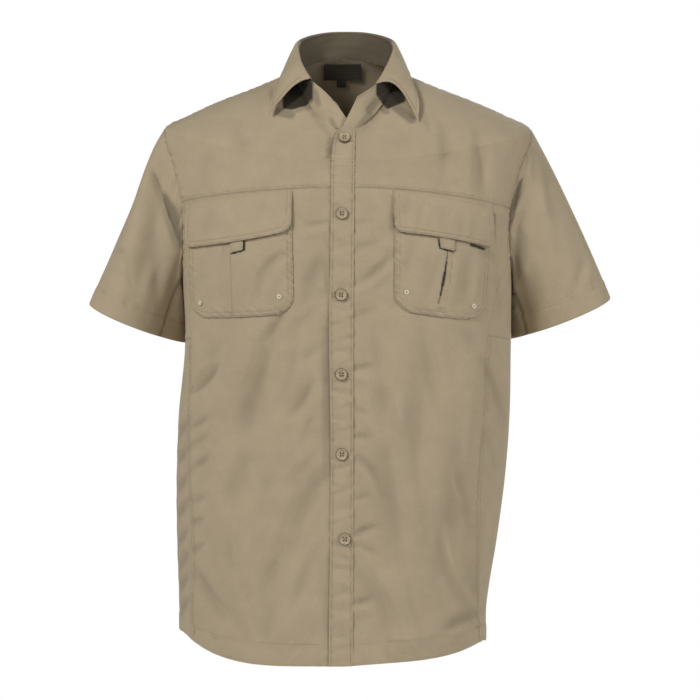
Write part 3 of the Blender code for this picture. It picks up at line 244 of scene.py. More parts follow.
# The cloth's finer creases on the viewer's left, the viewer's right, the pockets and the button band.
FRONT_CREASES = photo_folds(FRONT_SCALE, [
    (285, 312, 266, 340, 3.8, -3.8, 0, 0.3), (266, 338, 238, 428, 9, -3.2, 6),
    (289, 318, 268, 388, 6.5, 3.4, 3), (298, 328, 280, 405, 5, -2.1, 3), (306, 325, 292, 380, 5, 1.6),
    (241, 395, 247, 432, 9, -2.2), (216, 367, 190, 392, 3.6, -6.3, 2, 0.3), (207, 361, 190, 380, 3.6, 2.8),
    (207, 417, 190, 429, 3.6, -3.4, 1), (205, 436, 190, 447, 3.6, -2.8, 1),
    (208, 457, 190, 470, 3.6, -3.5, 1), (206, 497, 190, 506, 3.6, -2.4), (204, 519, 190, 527, 3.6, -2.8),
    (206, 544, 190, 556, 3.6, -3), (193, 570, 225, 616, 5.5, -3.6, -2, 0.2),
    (213, 574, 242, 626, 9, 2.9, -3), (313, 383, 290, 417, 3.6, -3.2, 2, 0.3),
    (320, 391, 299, 428, 6.5, 3.1, 2), (323, 476, 290, 545, 6.5, -2.9, -4), (313, 447, 287, 475, 6.5, 2.9),
    (331, 221, 306, 225, 3.5, -2.1, 1), (330, 229, 298, 236, 4, 1.7, 1), (323, 256, 305, 302, 8, -3.6, -2),
    (317, 299, 297, 323, 6, 2.2), (303, 598, 284, 646, 9, 2.9), (258, 498, 237, 602, 10, 3.4, -3),
    (285, 548, 262, 604, 7, -2.6, -3), (327, 320, 328, 455, 5.5, -3.4), (328, 560, 328, 655, 5, -2.3),
    (322, 536, 300, 560, 6, 2.1), (245, 445, 225, 500, 9, -2.3, 3), (322, 345, 300, 362, 5, -1.8),
    (325, 290, 316, 300, 4, -1.3), (236, 118, 244, 158, 7, -1.8), (262, 122, 256, 160, 9, 1.6),
    (207, 150, 200, 185, 8, -1.6), (272, 79, 270, 100, 3.5, -2.9), (250, 340, 236, 400, 7, 2.3, 3),
    (216, 340, 200, 372, 6, -2.1, 2), (300, 480, 268, 560, 6, 2.1, -3), (270, 470, 256, 530, 7, -2.1, -2),
    (215, 480, 206, 560, 8, 2.1, 2), (230, 540, 246, 600, 6, -2.3, -2), (310, 560, 292, 620, 6, -2.6, -2),
    (275, 600, 262, 645, 7, -1.8, -2), (318, 400, 304, 440, 5, -1.8), (280, 78, 277, 100, 3, 1.6),
    (312, 86, 337, 127, 2.6, -2), (304, 99, 334, 138, 3.2, -2.2), (309, 93, 335, 132, 2.6, 1.6),
    (322, 104, 332, 124, 2.2, -1.3), (332, 140, 328, 158, 3.2, -2.1), (353, 370, 373, 365, 3.6, -3),
    (354, 378, 371, 381, 3.6, 1.8), (353, 437, 370, 437, 3.6, -2.7), (355, 455, 381, 492, 5, -2.7, 3),
    (355, 466, 374, 494, 4, 1.9, 3), (353, 536, 376, 527, 3.6, -3.6, 1), (356, 545, 377, 555, 4, -2.2),
    (354, 604, 371, 600, 4, -3.5), (354, 612, 372, 612, 4, 1.6), (354, 500, 369, 496, 3.6, -2.2),
    (353, 225, 370, 221, 3.4, -1.4), (353, 410, 366, 413, 3.6, -1.6), (357, 284, 394, 253, 5, -3.5, -3),
    (361, 291, 393, 263, 5, 2.7, -3), (355, 250, 378, 242, 4, -2), (355, 318, 372, 309, 4.5, -1.9),
    (381, 383, 384, 417, 8, -3.2), (397, 394, 403, 432, 8, 3.5), (404, 325, 428, 602, 15, 4.9, -6),
    (384, 436, 402, 562, 12, -3.4, -3), (453, 424, 447, 562, 12, -3.4, 4),
    (452, 470, 463, 507, 2.6, 1.8, -2), (447, 528, 479, 611, 3.4, 3, -7), (441, 536, 471, 612, 5, -2.6, -7),
    (360, 553, 408, 642, 7.5, 3.5, 8), (353, 566, 388, 640, 8, -2.4, 8), (440, 633, 483, 614, 6, -5.1, 1),
    (448, 642, 484, 632, 5, 2.2), (470, 560, 476, 600, 7, -2.2), (443, 122, 447, 168, 4.5, -3, 1),
    (436, 126, 438, 165, 6, 1.4), (479, 130, 484, 192, 4.5, -3.2, 2), (471, 132, 470, 190, 6, 2.2),
    (484, 358, 506, 426, 5, -3.5, 3), (420, 430, 430, 540, 9, -2.4, -4), (440, 330, 450, 390, 7, 2.2, -2),
    (430, 560, 448, 640, 8, 2.2, -4), (408, 570, 424, 645, 7, -2, -3), (470, 400, 462, 470, 6, 1.9, 2),
    (372, 330, 380, 372, 6, -1.9), (366, 420, 378, 440, 5, 1.6), (462, 480, 472, 540, 5, -1.9, 2),
    (492, 352, 508, 392, 5, 1.6, 3), (485, 430, 500, 470, 5, -1.6), (420, 330, 436, 410, 6, -2.2, 2),
    (412, 79, 421, 118, 3.2, -2.6, -2), (424, 108, 432, 129, 3.2, -2.2), (387, 97, 357, 131, 4.6, -3, 2),
    (379, 98, 356, 122, 3.5, 1.8, 2), (490, 250, 499, 262, 3.5, -1.8), (478, 245, 488, 258, 3.5, -1.6),
    (462, 325, 478, 350, 6, -2), (495, 262, 503, 310, 4, -1.8), (285, 253, 262, 274, 4.5, -2.9, -2),
    (262, 272, 255, 302, 5, -2.4), (288, 262, 268, 296, 5.5, 2.2, -2), (250, 262, 238, 290, 5, 1.4),
    (205, 262, 198, 290, 6, -1.2), (212, 205, 206, 232, 5, -1.1), (222, 207, 215, 226, 3.5, 1),
    (240, 205, 236, 228, 5, -0.8), (263, 200, 257, 225, 5, -1), (275, 203, 270, 226, 4, 1),
    (409, 196, 405, 216, 3.5, -1.4), (423, 204, 417, 228, 4, -1.3), (428, 204, 424, 228, 3, 1.1),
    (446, 208, 441, 232, 4.5, -1.1), (462, 212, 457, 238, 4.5, -1.1), (475, 216, 470, 240, 4, -1.2),
    (458, 252, 450, 300, 7, 1.9), (468, 256, 462, 300, 6, -1.7), (478, 262, 474, 300, 4, 1.2),
    (412, 246, 404, 276, 5, -1.7), (426, 246, 414, 290, 6, 1.6), (438, 262, 424, 302, 5, -1.4),
    (431, 309, 447, 309, 2.6, 1.7, 3), (334, 151, 349, 146, 2.6, -1.4), (336, 170, 350, 165, 3, -1.2),
    (334, 186, 350, 190, 3, -1), (333, 199, 341, 203, 3, 1), (342, 228, 352, 231, 3, -1.4),
    (333, 235, 347, 239, 3.2, 1.2), (333, 250, 350, 246, 3.2, -1.4), (335, 266, 349, 270, 3, -1.1),
    (333, 281, 350, 277, 3.2, 1.2), (336, 310, 350, 313, 3, -1.3), (333, 326, 344, 322, 3, -1.3),
    (338, 337, 351, 332, 3, 1.3), (333, 350, 350, 353, 3.2, -1.5), (334, 362, 348, 359, 2.8, 1),
    (333, 391, 349, 395, 3, -1.5), (337, 405, 351, 401, 3, 1.2), (333, 419, 348, 421, 3.2, -1.5),
    (335, 433, 350, 429, 3, -1.2), (333, 443, 343, 445, 3, 1.2), (334, 470, 351, 466, 3.2, -1.6),
    (333, 481, 349, 485, 3, 1.3), (333, 494, 350, 491, 3, -1.6), (336, 507, 351, 510, 3, -1.4),
    (333, 519, 348, 516, 3, 1.2), (334, 556, 350, 560, 3.2, -1.5), (333, 571, 349, 567, 3, -1.6),
    (337, 581, 351, 585, 3, 1.4), (333, 596, 349, 592, 3.2, -1.6), (335, 609, 350, 612, 3, -1.2),
    (333, 622, 349, 619, 3, 1.3), (333, 636, 350, 640, 3.2, -1.6), (335, 650, 349, 647, 3, -1.2),
    (329, 140, 329, 160, 2.5, -1.4), (328, 165, 329, 172, 2.5, -1.4), (327, 184, 328, 196, 2.5, -1.4),
    (326, 235, 328, 252, 2.5, -1.6), (325, 262, 327, 300, 2.8, -1.8),
])
# Short slanted puckers down the viewer's left side seam, by height.
SIDE_PUCKERS = (430, 456, 483, 509, 536, 560, 583, 606)
FRONT_CREASES += photo_folds(SIDE_SCALE, [(191, py - 12, 176, py + 11, 3.6, -4.1) for py in SIDE_PUCKERS])
BACK_CREASES = [
    Fold(-0.17, -0.36, -0.145, -0.39, 0.006, -0.003, 0, 0.3),
    Fold(-0.175, -0.45, -0.15, -0.47, 0.0055, -0.0024, 0.001),
    Fold(-0.178, -0.54, -0.15, -0.565, 0.006, -0.0026),
    Fold(-0.176, -0.62, -0.14, -0.67, 0.008, -0.003, 0.003, 0.2),
    Fold(0.165, -0.37, 0.14, -0.405, 0.006, -0.0028, 0, 0.3),
    Fold(0.17, -0.46, 0.145, -0.475, 0.0055, -0.0022, 0.001),
    Fold(0.165, -0.56, 0.135, -0.585, 0.0065, -0.0026),
    Fold(-0.09, -0.15, -0.115, -0.26, 0.009, -0.0028, 0.003),
    Fold(0.095, -0.15, 0.12, -0.25, 0.009, -0.0028, -0.003),
    Fold(-0.03, -0.125, -0.045, -0.29, 0.011, -0.0022, 0.004),
    Fold(0.025, -0.125, 0.04, -0.32, 0.011, -0.0024, -0.004),
    Fold(-0.005, -0.33, 0.015, -0.51, 0.012, 0.0026, 0.006),
    Fold(0.07, -0.42, 0.095, -0.59, 0.011, 0.0028, -0.006),
    Fold(-0.08, -0.47, -0.055, -0.66, 0.012, -0.0028, 0.006),
    Fold(0.025, -0.58, 0.055, -0.71, 0.01, -0.0026, 0.004, 0.2),
    Fold(-0.12, -0.56, -0.085, -0.69, 0.008, 0.0022, 0.004),
    Fold(0.11, -0.63, 0.15, -0.69, 0.007, -0.003, 0.003, 0.2),
    Fold(-0.15, -0.24, -0.11, -0.31, 0.008, -0.0026, 0.003),
    Fold(0.15, -0.23, 0.115, -0.3, 0.008, -0.0026, -0.003),
]

# Sleeves. Each cuff is a tilted oval whose inner end lies further back, behind the body's side.
Cuff = namedtuple("Cuff", "x z across deep tilt")
CUFFS = {
    "left": Cuff(-0.268, -0.3217, 0.0682, 0.064, 20.8),
    "right": Cuff(0.2736, -0.3158, 0.0728, 0.064, 20.7),
}
CUFF_FRONT_DROP = 0.009
CUFF_Y = -0.010
CUFF_SWING = 0.070
Leave = namedtuple("Leave", "fall pull")
SLEEVE_OVER = Leave(57, 0.55)
SLEEVE_UNDER = Leave(72, 0.55)
SLEEVE_ARRIVE = 0.70
SLEEVE_COLUMNS = 192
# Its rows as shares of its length: by the armhole, in the middle as first, last and how many, either side of
# the hem's stitches, and by the cuff's edge.
SLEEVE_HOLE_ROWS = (0, 0.006, 0.012, 0.02)
SLEEVE_MIDDLE_ROWS = (0.03, 0.86, 84)
SLEEVE_HEM_ROWS = (-0.012, -0.007, -0.003, 0.0, 0.003, 0.007, 0.012)
SLEEVE_EDGE_ROWS = (0.992, 0.997, 1.0)
CUFF_ROUND = 0.43
# Sleeves' folds take this many degrees as one length, and fade where the sleeve is sewn on. Their seen
# creases fade where the tube turns away from the front.
LENGTH_TURN = 65.0
SEWN_SHARE = 0.12
SLEEVE_FACING = 0.3
# The strip at the sleeve's top that goes under the body, as a share of the armhole.
ARM_UNDERLAP = 0.055
TubeFold = namedtuple("TubeFold", "turn0 along0 turn1 along1 width depth")
SLEEVE_FOLDS = {
    "left": [
        TubeFold(40, 0.12, 88, 0.55, 13, -0.009), TubeFold(20, 0.1, 55, 0.62, 13, 0.0045),
        TubeFold(-8, 0.66, 42, 0.8, 10, -0.006), TubeFold(-45, 0.47, 45, 0.43, 9, -0.004),
        TubeFold(125, 0.3, 118, 0.95, 11, -0.006), TubeFold(250, 0.2, 290, 0.8, 18, -0.006),
        TubeFold(210, 0.3, 220, 0.9, 16, -0.005),
    ],
    "right": [
        TubeFold(62, 0.1, 98, 0.6, 14, -0.005), TubeFold(50, 0.05, 62, 0.75, 10, 0.0024),
        TubeFold(28, 0.25, 36, 0.9, 14, -0.0024), TubeFold(125, 0.3, 118, 0.95, 11, -0.006),
        TubeFold(255, 0.15, 285, 0.75, 18, -0.006), TubeFold(205, 0.3, 218, 0.9, 16, -0.005),
    ],
}
# The same for the sleeves' fronts, seen from the shirt's front.
SLEEVE_CREASES = {
    "left": photo_folds(SLEEVE_SCALE, [
        (151, 167, 160, 198, 3.2, -3.2, -1), (160, 198, 179, 246, 4.2, -5, -1),
        (156, 150, 168, 192, 5, 1.6), (112, 247, 124, 254, 3, -2.4), (124, 254, 131, 286, 3.2, -2.2, -1),
        (118, 236, 138, 262, 6, 1.6), (140, 190, 118, 290, 9, 1.6, 3), (152, 210, 136, 292, 10, -1.6, 3),
        (182, 274, 158, 336, 2.2, -1.6, 2), (158, 252, 156, 300, 6, -2), (150, 262, 142, 310, 6, 1.4),
        (118, 212, 108, 250, 5, -1.2),
    ]),
    "right": photo_folds(SLEEVE_SCALE, [
        (522, 180, 511, 214, 3.4, -4.8, 1), (509, 216, 505, 244, 2.4, -2.2), (529, 146, 530, 178, 2.6, 1.8),
        (534, 150, 538, 200, 5, -1.4), (524, 214, 517, 280, 5, -3.4, -3), (547, 150, 560, 256, 7, -1.8, -2),
        (540, 180, 545, 262, 7, 1.4), (505, 262, 529, 333, 2.2, -1.8), (531, 285, 536, 325, 7, -1.6),
        (594, 262, 584, 292, 5, 2.4), (586, 258, 574, 292, 5, -1.6), (570, 275, 560, 305, 5, 1.2),
        (548, 270, 545, 318, 6, 1.2),
    ]),
}

# Where the photograph is dark between layers, seen from the front.
GAPS = {
    "collar": photo_gaps(FRONT_SCALE, [
        (0.0022, 0.97, (280, 80), (313, 70), (313, 97), (305, 103), (291, 107), (282, 106)),
        (0.0022, 0.97, (376, 70), (410, 80), (406, 98), (399, 101.5), (388, 106.5), (382, 100), (376, 92)),
    ]),
    "sleeve_left": photo_gaps(SLEEVE_SCALE, [
        (0.0070, 0.46, (159, 192), (164, 192), (178, 210), (184, 250), (180, 248), (168, 218)),
    ]),
    "sleeve_right": photo_gaps(SLEEVE_SCALE, [
        (0.0028, 0.5, (527, 176), (524, 190), (515, 216), (509, 242), (504, 246), (507, 213), (519, 180)),
        (0.0060, 0.16, (520, 224), (529, 236), (527, 262), (512, 296), (510, 262)),
    ]),
}
# Softer strokes of shade beside edges and in slits, by the piece that they lie on.
SHADES = {
    "front": photo_shades(FRONT_SCALE, [
        (277, 109, 290, 112, 4.5, 0.38), (296, 107, 309, 103, 3, 0.3), (396, 104, 412, 117, 4.5, 0.45),
        (379, 101, 387, 109, 3, 0.35), (326, 330, 327, 475, 4.5, 0.09), (315, 480, 325, 470, 8, 0.08),
        (330, 138, 328, 156, 2.5, 0.2), (494.8, 213, 495.2, 240, 1.6, 0.55),
        (183.7, 203, 183.2, 226, 1, 0.4), (183.2, 226, 184.4, 240, 0.8, 0.25),
    ]),
    "stand": photo_shades(FRONT_SCALE, [
        (314.5, 88, 318, 100, 3, 0.3), (358, 128, 369, 113, 4, 0.3), (369, 107, 376, 98, 4, 0.4),
        (331, 118, 338, 130, 2.5, 0.25),
    ]),
    "pocket": photo_shades(FRONT_SCALE, [
        (446.5, 251, 445.3, 262, 0.6, 0.75), (445.3, 262, 443.7, 273, 1, 0.95),
        (443.7, 273, 441.5, 285, 1.5, 0.97), (441.5, 285, 439.5, 295, 1, 0.95),
        (439.5, 295, 437.5, 303, 0.6, 0.8), (232, 256, 233, 313, 0.7, 0.2),
        (470, 244.6, 483.5, 248, 1.5, 0.9), (245.2, 242, 245, 249.5, 1.5, 0.95),
        (245, 249.5, 242, 251, 1.3, 0.95), (242, 251.2, 232.5, 253.6, 0.9, 0.95),
        (437.5, 240, 438.5, 247, 0.8, 0.95), (439, 248.5, 451, 251.5, 0.8, 0.95),
    ]),
    "sleeve_left": photo_shades(SLEEVE_SCALE, [
        (152, 172, 160, 198, 1.4, 0.18), (160, 198, 168, 218, 1.4, 0.25), (181, 276, 168, 312, 1.2, 0.4),
        (168, 312, 158, 336, 1.2, 0.4),
    ]),
    "sleeve_right": photo_shades(SLEEVE_SCALE, [
        (509, 240, 504, 262, 1.2, 0.3), (511, 294, 514, 306, 3.5, 0.5), (512, 312, 517, 330, 6, 0.3),
        (505, 262, 515, 294, 1.2, 0.4), (515, 294, 529, 333, 1.2, 0.4),
    ]),
}
# The weave that the cloth shows, and how high it and the thicker spots of thread stand.
WEAVE_MM = 1.1
WEAVE_BUMP_MM = 0.12
SLUB_BUMP_MM = 0.4
CREASE_SHADE = 0.20
CREASE_DEEP = 0.004
SHADE_CORE = 0.6
SHADE_FADE = 0.8
DEEP_SHADE = "#29251c"

# The stage: the photograph's camera, the lights and the room.
CAMERA_AT = (0.0052, -4.0, -0.3575)
LENS_MM = 158.25
FLOOR_Z = -1.45
FLOOR_REACH = 2.6
LIGHT_AIM = (0, 0, -0.36)
LIGHTS = [
    ("key", (-2.4, -2.5, 2.0), 1.1, 105),
    ("side", (3.1, -1.9, 0.9), 1.3, 57),
    ("back", (1.4, 3.4, 1.2), 2.0, 45),
]
WALL_TO, ROOM_FROM = 0.125, 0.16
WALL_GLOW, ROOM_GLOW = 1.0, 0.06

# The collar, by angle round the neck: the fold at the stand's top and the collar's free edge.
Station = namedtuple("Station", "angle fold edge")
Place = namedtuple("Place", "angle x y z")
COLLAR_RIGHT = [
    Station(0, (0.015, -0.088, -0.035), None),
    Station(14, (0.0275, -0.08, -0.0265), None),
    Station(27, (0.0385, -0.071, -0.018), (0.092, -0.085, -0.065)),
    Station(45, (0.049, -0.054, -0.001), (0.093, -0.069, -0.039)),
    Station(66, (0.059, -0.028, 0.022), (0.086, -0.043, -0.0145)),
    Station(90, (0.0615, 0.002, 0.0385), (0.081, 0.004, 0.002)),
    Station(125, (0.048, 0.036, 0.051), (0.066, 0.048, 0.009)),
    Station(155, (0.025, 0.053, 0.0578), (0.033, 0.066, 0.014)),
    Station(180, (0, 0.058, 0.0594), (0, 0.071, 0.016)),
]
COLLAR_LEFT = [
    Station(0, (-0.012, -0.085, -0.044), None),
    Station(14, (-0.025, -0.08, -0.03), None),
    Station(32, (-0.0445, -0.072, -0.012), (-0.0985, -0.085, -0.056)),
    Station(45, (-0.056, -0.054, 0.008), (-0.0937, -0.069, -0.035)),
    Station(66, (-0.0605, -0.028, 0.024), (-0.087, -0.043, -0.014)),
    Station(90, (-0.062, 0.002, 0.0385), (-0.0814, 0.004, 0.002)),
    Station(125, (-0.048, 0.036, 0.051), (-0.066, 0.048, 0.009)),
    Station(155, (-0.025, 0.053, 0.0578), (-0.033, 0.066, 0.014)),
    Station(180, (0, 0.058, 0.0594), (0, 0.071, 0.016)),
]
STAND_END_SPAN = 14.0
STAND_LAP_FROM = 340.0
STAND_LAP_SPAN = 12.0
STAND_COLUMNS, STAND_ROWS = 230, 16
NECK_ROUND = 0.44
STAND_BULGE, STAND_BULGE_WAVE = 0.0016, 0.060
STAND_RIPPLE, STAND_RIPPLE_WAVE = 0.0003, 0.012
STAND_SHADE_FADE = 0.02
LEAF_TICKS = (0, 0.15, 0.35, 0.6, 0.9, 1.3, 1.8, 2.3, 2.8, 3.6)
LEAF_COLUMNS = 190
LEAF_LOW_DROPS = (0.87, 0.89, 0.91, 0.93, 0.95, 0.97, 0.985, 1.0)
LEAF_RELIEF_FROM = 0.012
COLLAR_ROLL = 0.0019
ROLL_LIFT = 0.0003
COLLAR_BULGE = 0.001
COLLAR_STITCH = 0.0055
STAND_STITCH = 0.0030
# The stand's stitches run from its front ends to these angles, and the leaf's start at a row under the roll.
STAND_STITCHED = (28.0, 328.0)
LEAF_STITCH_ROW = 8
COLLAR_ARCH = {"left": 4.0, "right": 13.0}
COLLAR_ARCH_POWER = 0.7
ROLL_STEP = 22.5
# Behind the neck the roll is in shade, up to an angle from the back's middle, and so is the stand's inside.
ROLL_SHADE = 0.62
ROLL_SHADE_ROWS = 6
ROLL_SHADE_ANGLE, ROLL_SHADE_FADE = 90, 12
STAND_INNER_SHADE = 0.74
ROLL_ROWS = 9

# Pockets: four corners as (x, z), the lower corners' radius and the lower edge's sag in the middle.
Patch = namedtuple("Patch", "top_left top_right low_left low_right corner sag")
POCKETS = {
    "left": Patch((-0.2, -0.186), (-0.069, -0.174), (-0.1975, -0.316), (-0.0655, -0.3115), 0.024, 0.002),
    "right": Patch((0.0625, -0.173), (0.184, -0.189), (0.0615, -0.306), (0.1765, -0.319), 0.022, 0.003),
}
FLAPS = {
    "left": Patch((-0.2034, -0.1712), (-0.0678, -0.1568), (-0.203, -0.226), (-0.069, -0.207), 0.011, 0.004),
    "right": Patch((0.0608, -0.1562), (0.1856, -0.1768), (0.0615, -0.2085), (0.1866, -0.2283), 0.01, -0.002),
}
TABS = {
    "left": Patch((-0.1455, -0.206), (-0.1268, -0.203), (-0.143, -0.2345), (-0.128, -0.2315), 0.002, 0),
    "right": Patch((0.1155, -0.206), (0.1365, -0.209), (0.118, -0.229), (0.135, -0.2325), 0.003, 0),
}
PATCH_TICKS = (0, 0.0007, 0.0014, 0.0021, 0.0028, 0.0036, 0.0046, 0.0058)
PATCH_SIDES = 0.012
CORNER_ROWS = 19
POCKET_CELL = 0.0013
TAB_CELL = 0.002
POCKET_BITE = 0.00035
POCKET_BITE_REACH = 0.0018
POCKET_BITE_WAVE = 0.0050
POCKET_LIFT = 0.0021
POCKET_BULGE = 0.0040
POCKET_FULLNESS = 0.7
FLAP_RISE = 0.28
FLAP_FLARE = 0.0026
Pleat = namedtuple("Pleat", "top foot step ramp")
PLEATS = {"left": Pleat(0.335, 0.372, 0.0012, 0.16), "right": Pleat(0.640, 0.560, 0.0022, -0.14)}

Place2 = namedtuple("Place2", "x z")
BUTTONS = [
    Place2(-0.0016, -0.09), Place2(-0.0048, -0.186), Place2(-0.0058, -0.2885), Place2(-0.0055, -0.3885),
    Place2(-0.005, -0.489), Place2(-0.0012, -0.5955),
]
BUTTON_RADIUS = 0.0070
BUTTON_THICK = 0.0030
BUTTON_OFF = 0.0006
# Radius and height as shares of the button's own, from the back's middle over the rim to the dished front.
BUTTON_PROFILE = [
    (0, 0), (0.72, 0), (0.94, 0.18), (1, 0.48), (0.98, 0.80), (0.92, 0.97),
    (0.85, 1), (0.77, 0.90), (0.69, 0.62), (0.58, 0.50), (0, 0.50),
]
BUTTON_SHADE, BUTTON_SHADE_REACH = 0.70, 0.0016
HOLE_RADIUS = 0.0011
HOLE_REACH = 0.0023
HOLE_PROFILE = [(0, -0.002), (HOLE_RADIUS, -0.002), (HOLE_RADIUS, 0.004), (0, 0.004)]
# Thread across two holes: how far out as a share of the holes' reach, and how high in the button.
THREAD_PATH = ((-1, 0.20), (-0.55, 0.56), (0.55, 0.56), (1, 0.20))
THREAD_HALF_WIDE, THREAD_HALF_TALL = 0.0004, 0.0003
EYELET_RADIUS = 0.0032
EYELET_LIFT = 0.0010
EYELET_CALM = 0.0060
EYELET_HOLE = 0.0009
EYELET_DISC = 0.0002
EYELET_LIP = 0.0012
EYELET_RISE = 0.0006
BAND_STITCH = 0.0026
BAND_CELL = 0.0018
BAND_TICKS = (0, 0.0007, 0.0014, 0.0021, 0.0028, 0.0036, 0.0048)
BAND_COLUMNS = 6
BAND_SWELL, BAND_SWELL_WAVE = 0.0004, 0.034
BAND_EDGE_ANGLES = {"left": -9.0, "right": 5.0}
PATCH_STITCHES = (0.0016, 0.0060)
ARM_STITCHES = (0.0025, 0.0075)
# Metres of the body's side to a degree, near the armhole.
METRES_A_DEGREE = 0.0038
# How far rows of stitches lie off the cloth's middle surface.
ON_CLOTH = OUTER_FACE + 0.0001
ON_SEAM = OUTER_FACE + 0.0005
ON_ARMHOLE = OUTER_FACE + 0.0003
ON_CUFF = OUTER_FACE - 0.0002
ON_BAND = OUTER_FACE + LAYER - 0.0001
ON_STAND = FIRM_OUTER_FACE + 0.0004
ON_LEAF = FIRM_OUTER_FACE + 0.0001
STITCH_SIZES = {"Pitch": 0.0034, "Length": 0.0024, "Width": 0.0006}
EYELETS = {
    "left": [Place2(-0.1820, -0.2975), Place2(-0.0835, -0.2905)],
    "right": [Place2(0.0760, -0.2850), Place2(0.1600, -0.3020)],
}
LABEL = {"x": -0.0045, "width": 0.050, "top": 0.021, "low": 0.001}
SIZE_TAB = {"x": -0.006, "width": 0.012, "top": 0.0003, "low": -0.008}
LABEL_THICK = 0.0008
LABEL_DEEP = 0.0026


# Numbers and vectors.


def ease(t):
    """From 0 to 1, smooth at both ends."""
    t = np.clip(t, 0.0, 1.0)
    return t * t * (3 - 2 * t)


def unit(v):
    """Vectors of length 1."""
    return v / np.maximum(np.linalg.norm(v, axis=-1, keepdims=True), 1e-12)


def spread(*values):
    """Values as arrays of one shape."""
    return np.broadcast_arrays(*(np.asarray(value, float) for value in values))


def bell(distance, reach):
    """From 1 at no distance down to almost nothing at twice the reach."""
    return np.exp(-((distance / reach) ** 2))


def cubic(t):
    """A cubic's weights for its start, its slope there, its end and its slope there."""
    return 2 * t**3 - 3 * t**2 + 1, t**3 - 2 * t**2 + t, -2 * t**3 + 3 * t**2, t**3 - t**2


def column(rows, key, name, at):
    """A table's column, smooth between its rows: a cubic through them with the rows' own slopes."""
    keys = np.array([getattr(r, key) for r in rows], float)
    values = np.array([getattr(r, name) for r in rows], float)
    at = np.asarray(at, float)
    if keys[0] > keys[-1]:
        keys, at = -keys, -at
    at = np.clip(at, keys[0], keys[-1])
    every = np.arange(len(keys))
    low, high = np.maximum(every - 1, 0), np.minimum(every + 1, len(keys) - 1)
    slopes = (values[high] - values[low]) / (keys[high] - keys[low])
    i = np.clip(np.searchsorted(keys, at, side="left") - 1, 0, len(keys) - 2)
    span = keys[i + 1] - keys[i]
    a, b, c, d = cubic((at - keys[i]) / span)
    return a * values[i] + b * slopes[i] * span + c * values[i + 1] + d * slopes[i + 1] * span


def ripple(along, wave, seed):
    """Uneven ripples along a line, from -1 to 1, about one wave long each."""
    u = np.asarray(along, float) / wave
    slow = 0.6 * np.sin(0.31 * u + seed * 1.7) + 0.5 * np.sin(0.173 * u + seed * 2.9)
    first = np.sin(2 * math.pi * u + 2.2 * slow + seed)
    second = np.sin(2 * math.pi * u * 0.618 + 1.7 * slow + seed * 3.1)
    return 0.6 * first + 0.4 * second


# The body's surface.


def bare_body(angle, level):
    """Points of the smooth body. angle is 0 at the centre front, 90 at the viewer's right."""
    angle, level = spread(angle, level)
    ring = Ring(*(column(RINGS, "level", name, level) for name in Ring._fields))
    s, c = np.sin(np.radians(angle)), np.cos(np.radians(angle))
    reach = (np.abs(s) ** ring.square + np.abs(c) ** ring.square) ** (-1 / ring.square)
    half = np.where(s >= 0, ring.right, ring.left)
    deep = np.where(c >= 0, ring.front, ring.back)
    z_end = np.where(c >= 0, ring.z_front, ring.z_back)
    z_side = np.where(s >= 0, ring.z_right, ring.z_left)
    drop = c * c + (ease((np.abs(c) - TAIL_FROM) / TAIL_SPAN) - c * c) * ring.tail
    z = z_side + (z_end - z_side) * drop + ring.hitch * np.maximum(s, 0) * np.maximum(c, 0)
    return np.stack([half * s * reach, -deep * c * reach, z], axis=-1)


def body_normal(angle, level):
    """The smooth body's outward normals."""
    turn, step = 0.5, 0.001
    low, high = np.maximum(level - step, 0), np.minimum(level + step, HEM_LEVEL)
    round_it = bare_body(angle + turn, level) - bare_body(angle - turn, level)
    down_it = bare_body(angle, high) - bare_body(angle, low)
    return unit(np.cross(down_it, round_it))


def fold_relief(x, z, folds):
    """How far folds move the cloth outwards at points seen from their side."""
    total = np.zeros(np.shape(x))
    for f in folds:
        dx, dz = f.x1 - f.x0, f.z1 - f.z0
        long2 = dx * dx + dz * dz
        near = np.clip(((x - f.x0) * dx + (z - f.z0) * dz) / long2, 0.0, 1.0)
        bow = f.bow * 4 * near * (1 - near) / math.sqrt(long2)
        px, pz = x - f.x0 - near * dx + bow * dz, z - f.z0 - near * dz - bow * dx
        side = px * dz - pz * dx
        width = f.width * (1 + f.lean * np.tanh(side / math.sqrt(long2) / f.width))
        taper = FOLD_ENDS + (1 - FOLD_ENDS) * np.sin(math.pi * near)
        total += f.depth * np.exp(-(px**2 + pz**2) / width**2) * taper
    return total


def shade_of(x, z, strokes):
    """How much strokes of shade darken points seen from the front, 0 to 1."""
    light = np.ones(np.shape(x))
    for s in strokes:
        dx, dz = s.x1 - s.x0, s.z1 - s.z0
        near = np.clip(((x - s.x0) * dx + (z - s.z0) * dz) / (dx * dx + dz * dz), 0.0, 1.0)
        away = np.hypot(x - s.x0 - near * dx, z - s.z0 - near * dz)
        light *= 1 - s.dark * (1 - ease((away / s.width - SHADE_CORE) / SHADE_FADE))
    return 1 - light


def gap_shade(x, z, gaps):
    """The shade of dark hollows with a clear edge at points seen from the front, 0 to 1."""
    light = np.ones(np.shape(x))
    for gap in gaps:
        outside = np.full(np.shape(x), -1.0)
        for start, end in zip(gap.corners, gap.corners[1:] + gap.corners[:1]):
            dx, dz = end[0] - start[0], end[1] - start[1]
            past = ((x - start[0]) * -dz + (z - start[1]) * dx) / math.hypot(dx, dz)
            outside = np.maximum(outside, past)
        light *= 1 - gap.dark * (1 - ease(outside / gap.fade + 0.5))
    return 1 - light


def crease_shade(x, z, creases):
    """The shade that the bottoms of fine creases take, as little light reaches them."""
    return CREASE_SHADE * np.clip(-fold_relief(x, z, creases) / CREASE_DEEP, 0.0, 1.0)


def edge_shade(distance, kind):
    """The shade beside an edge or a seam, of a kind given as its reach and its depth."""
    reach, dark = kind
    return dark * bell(distance, reach)


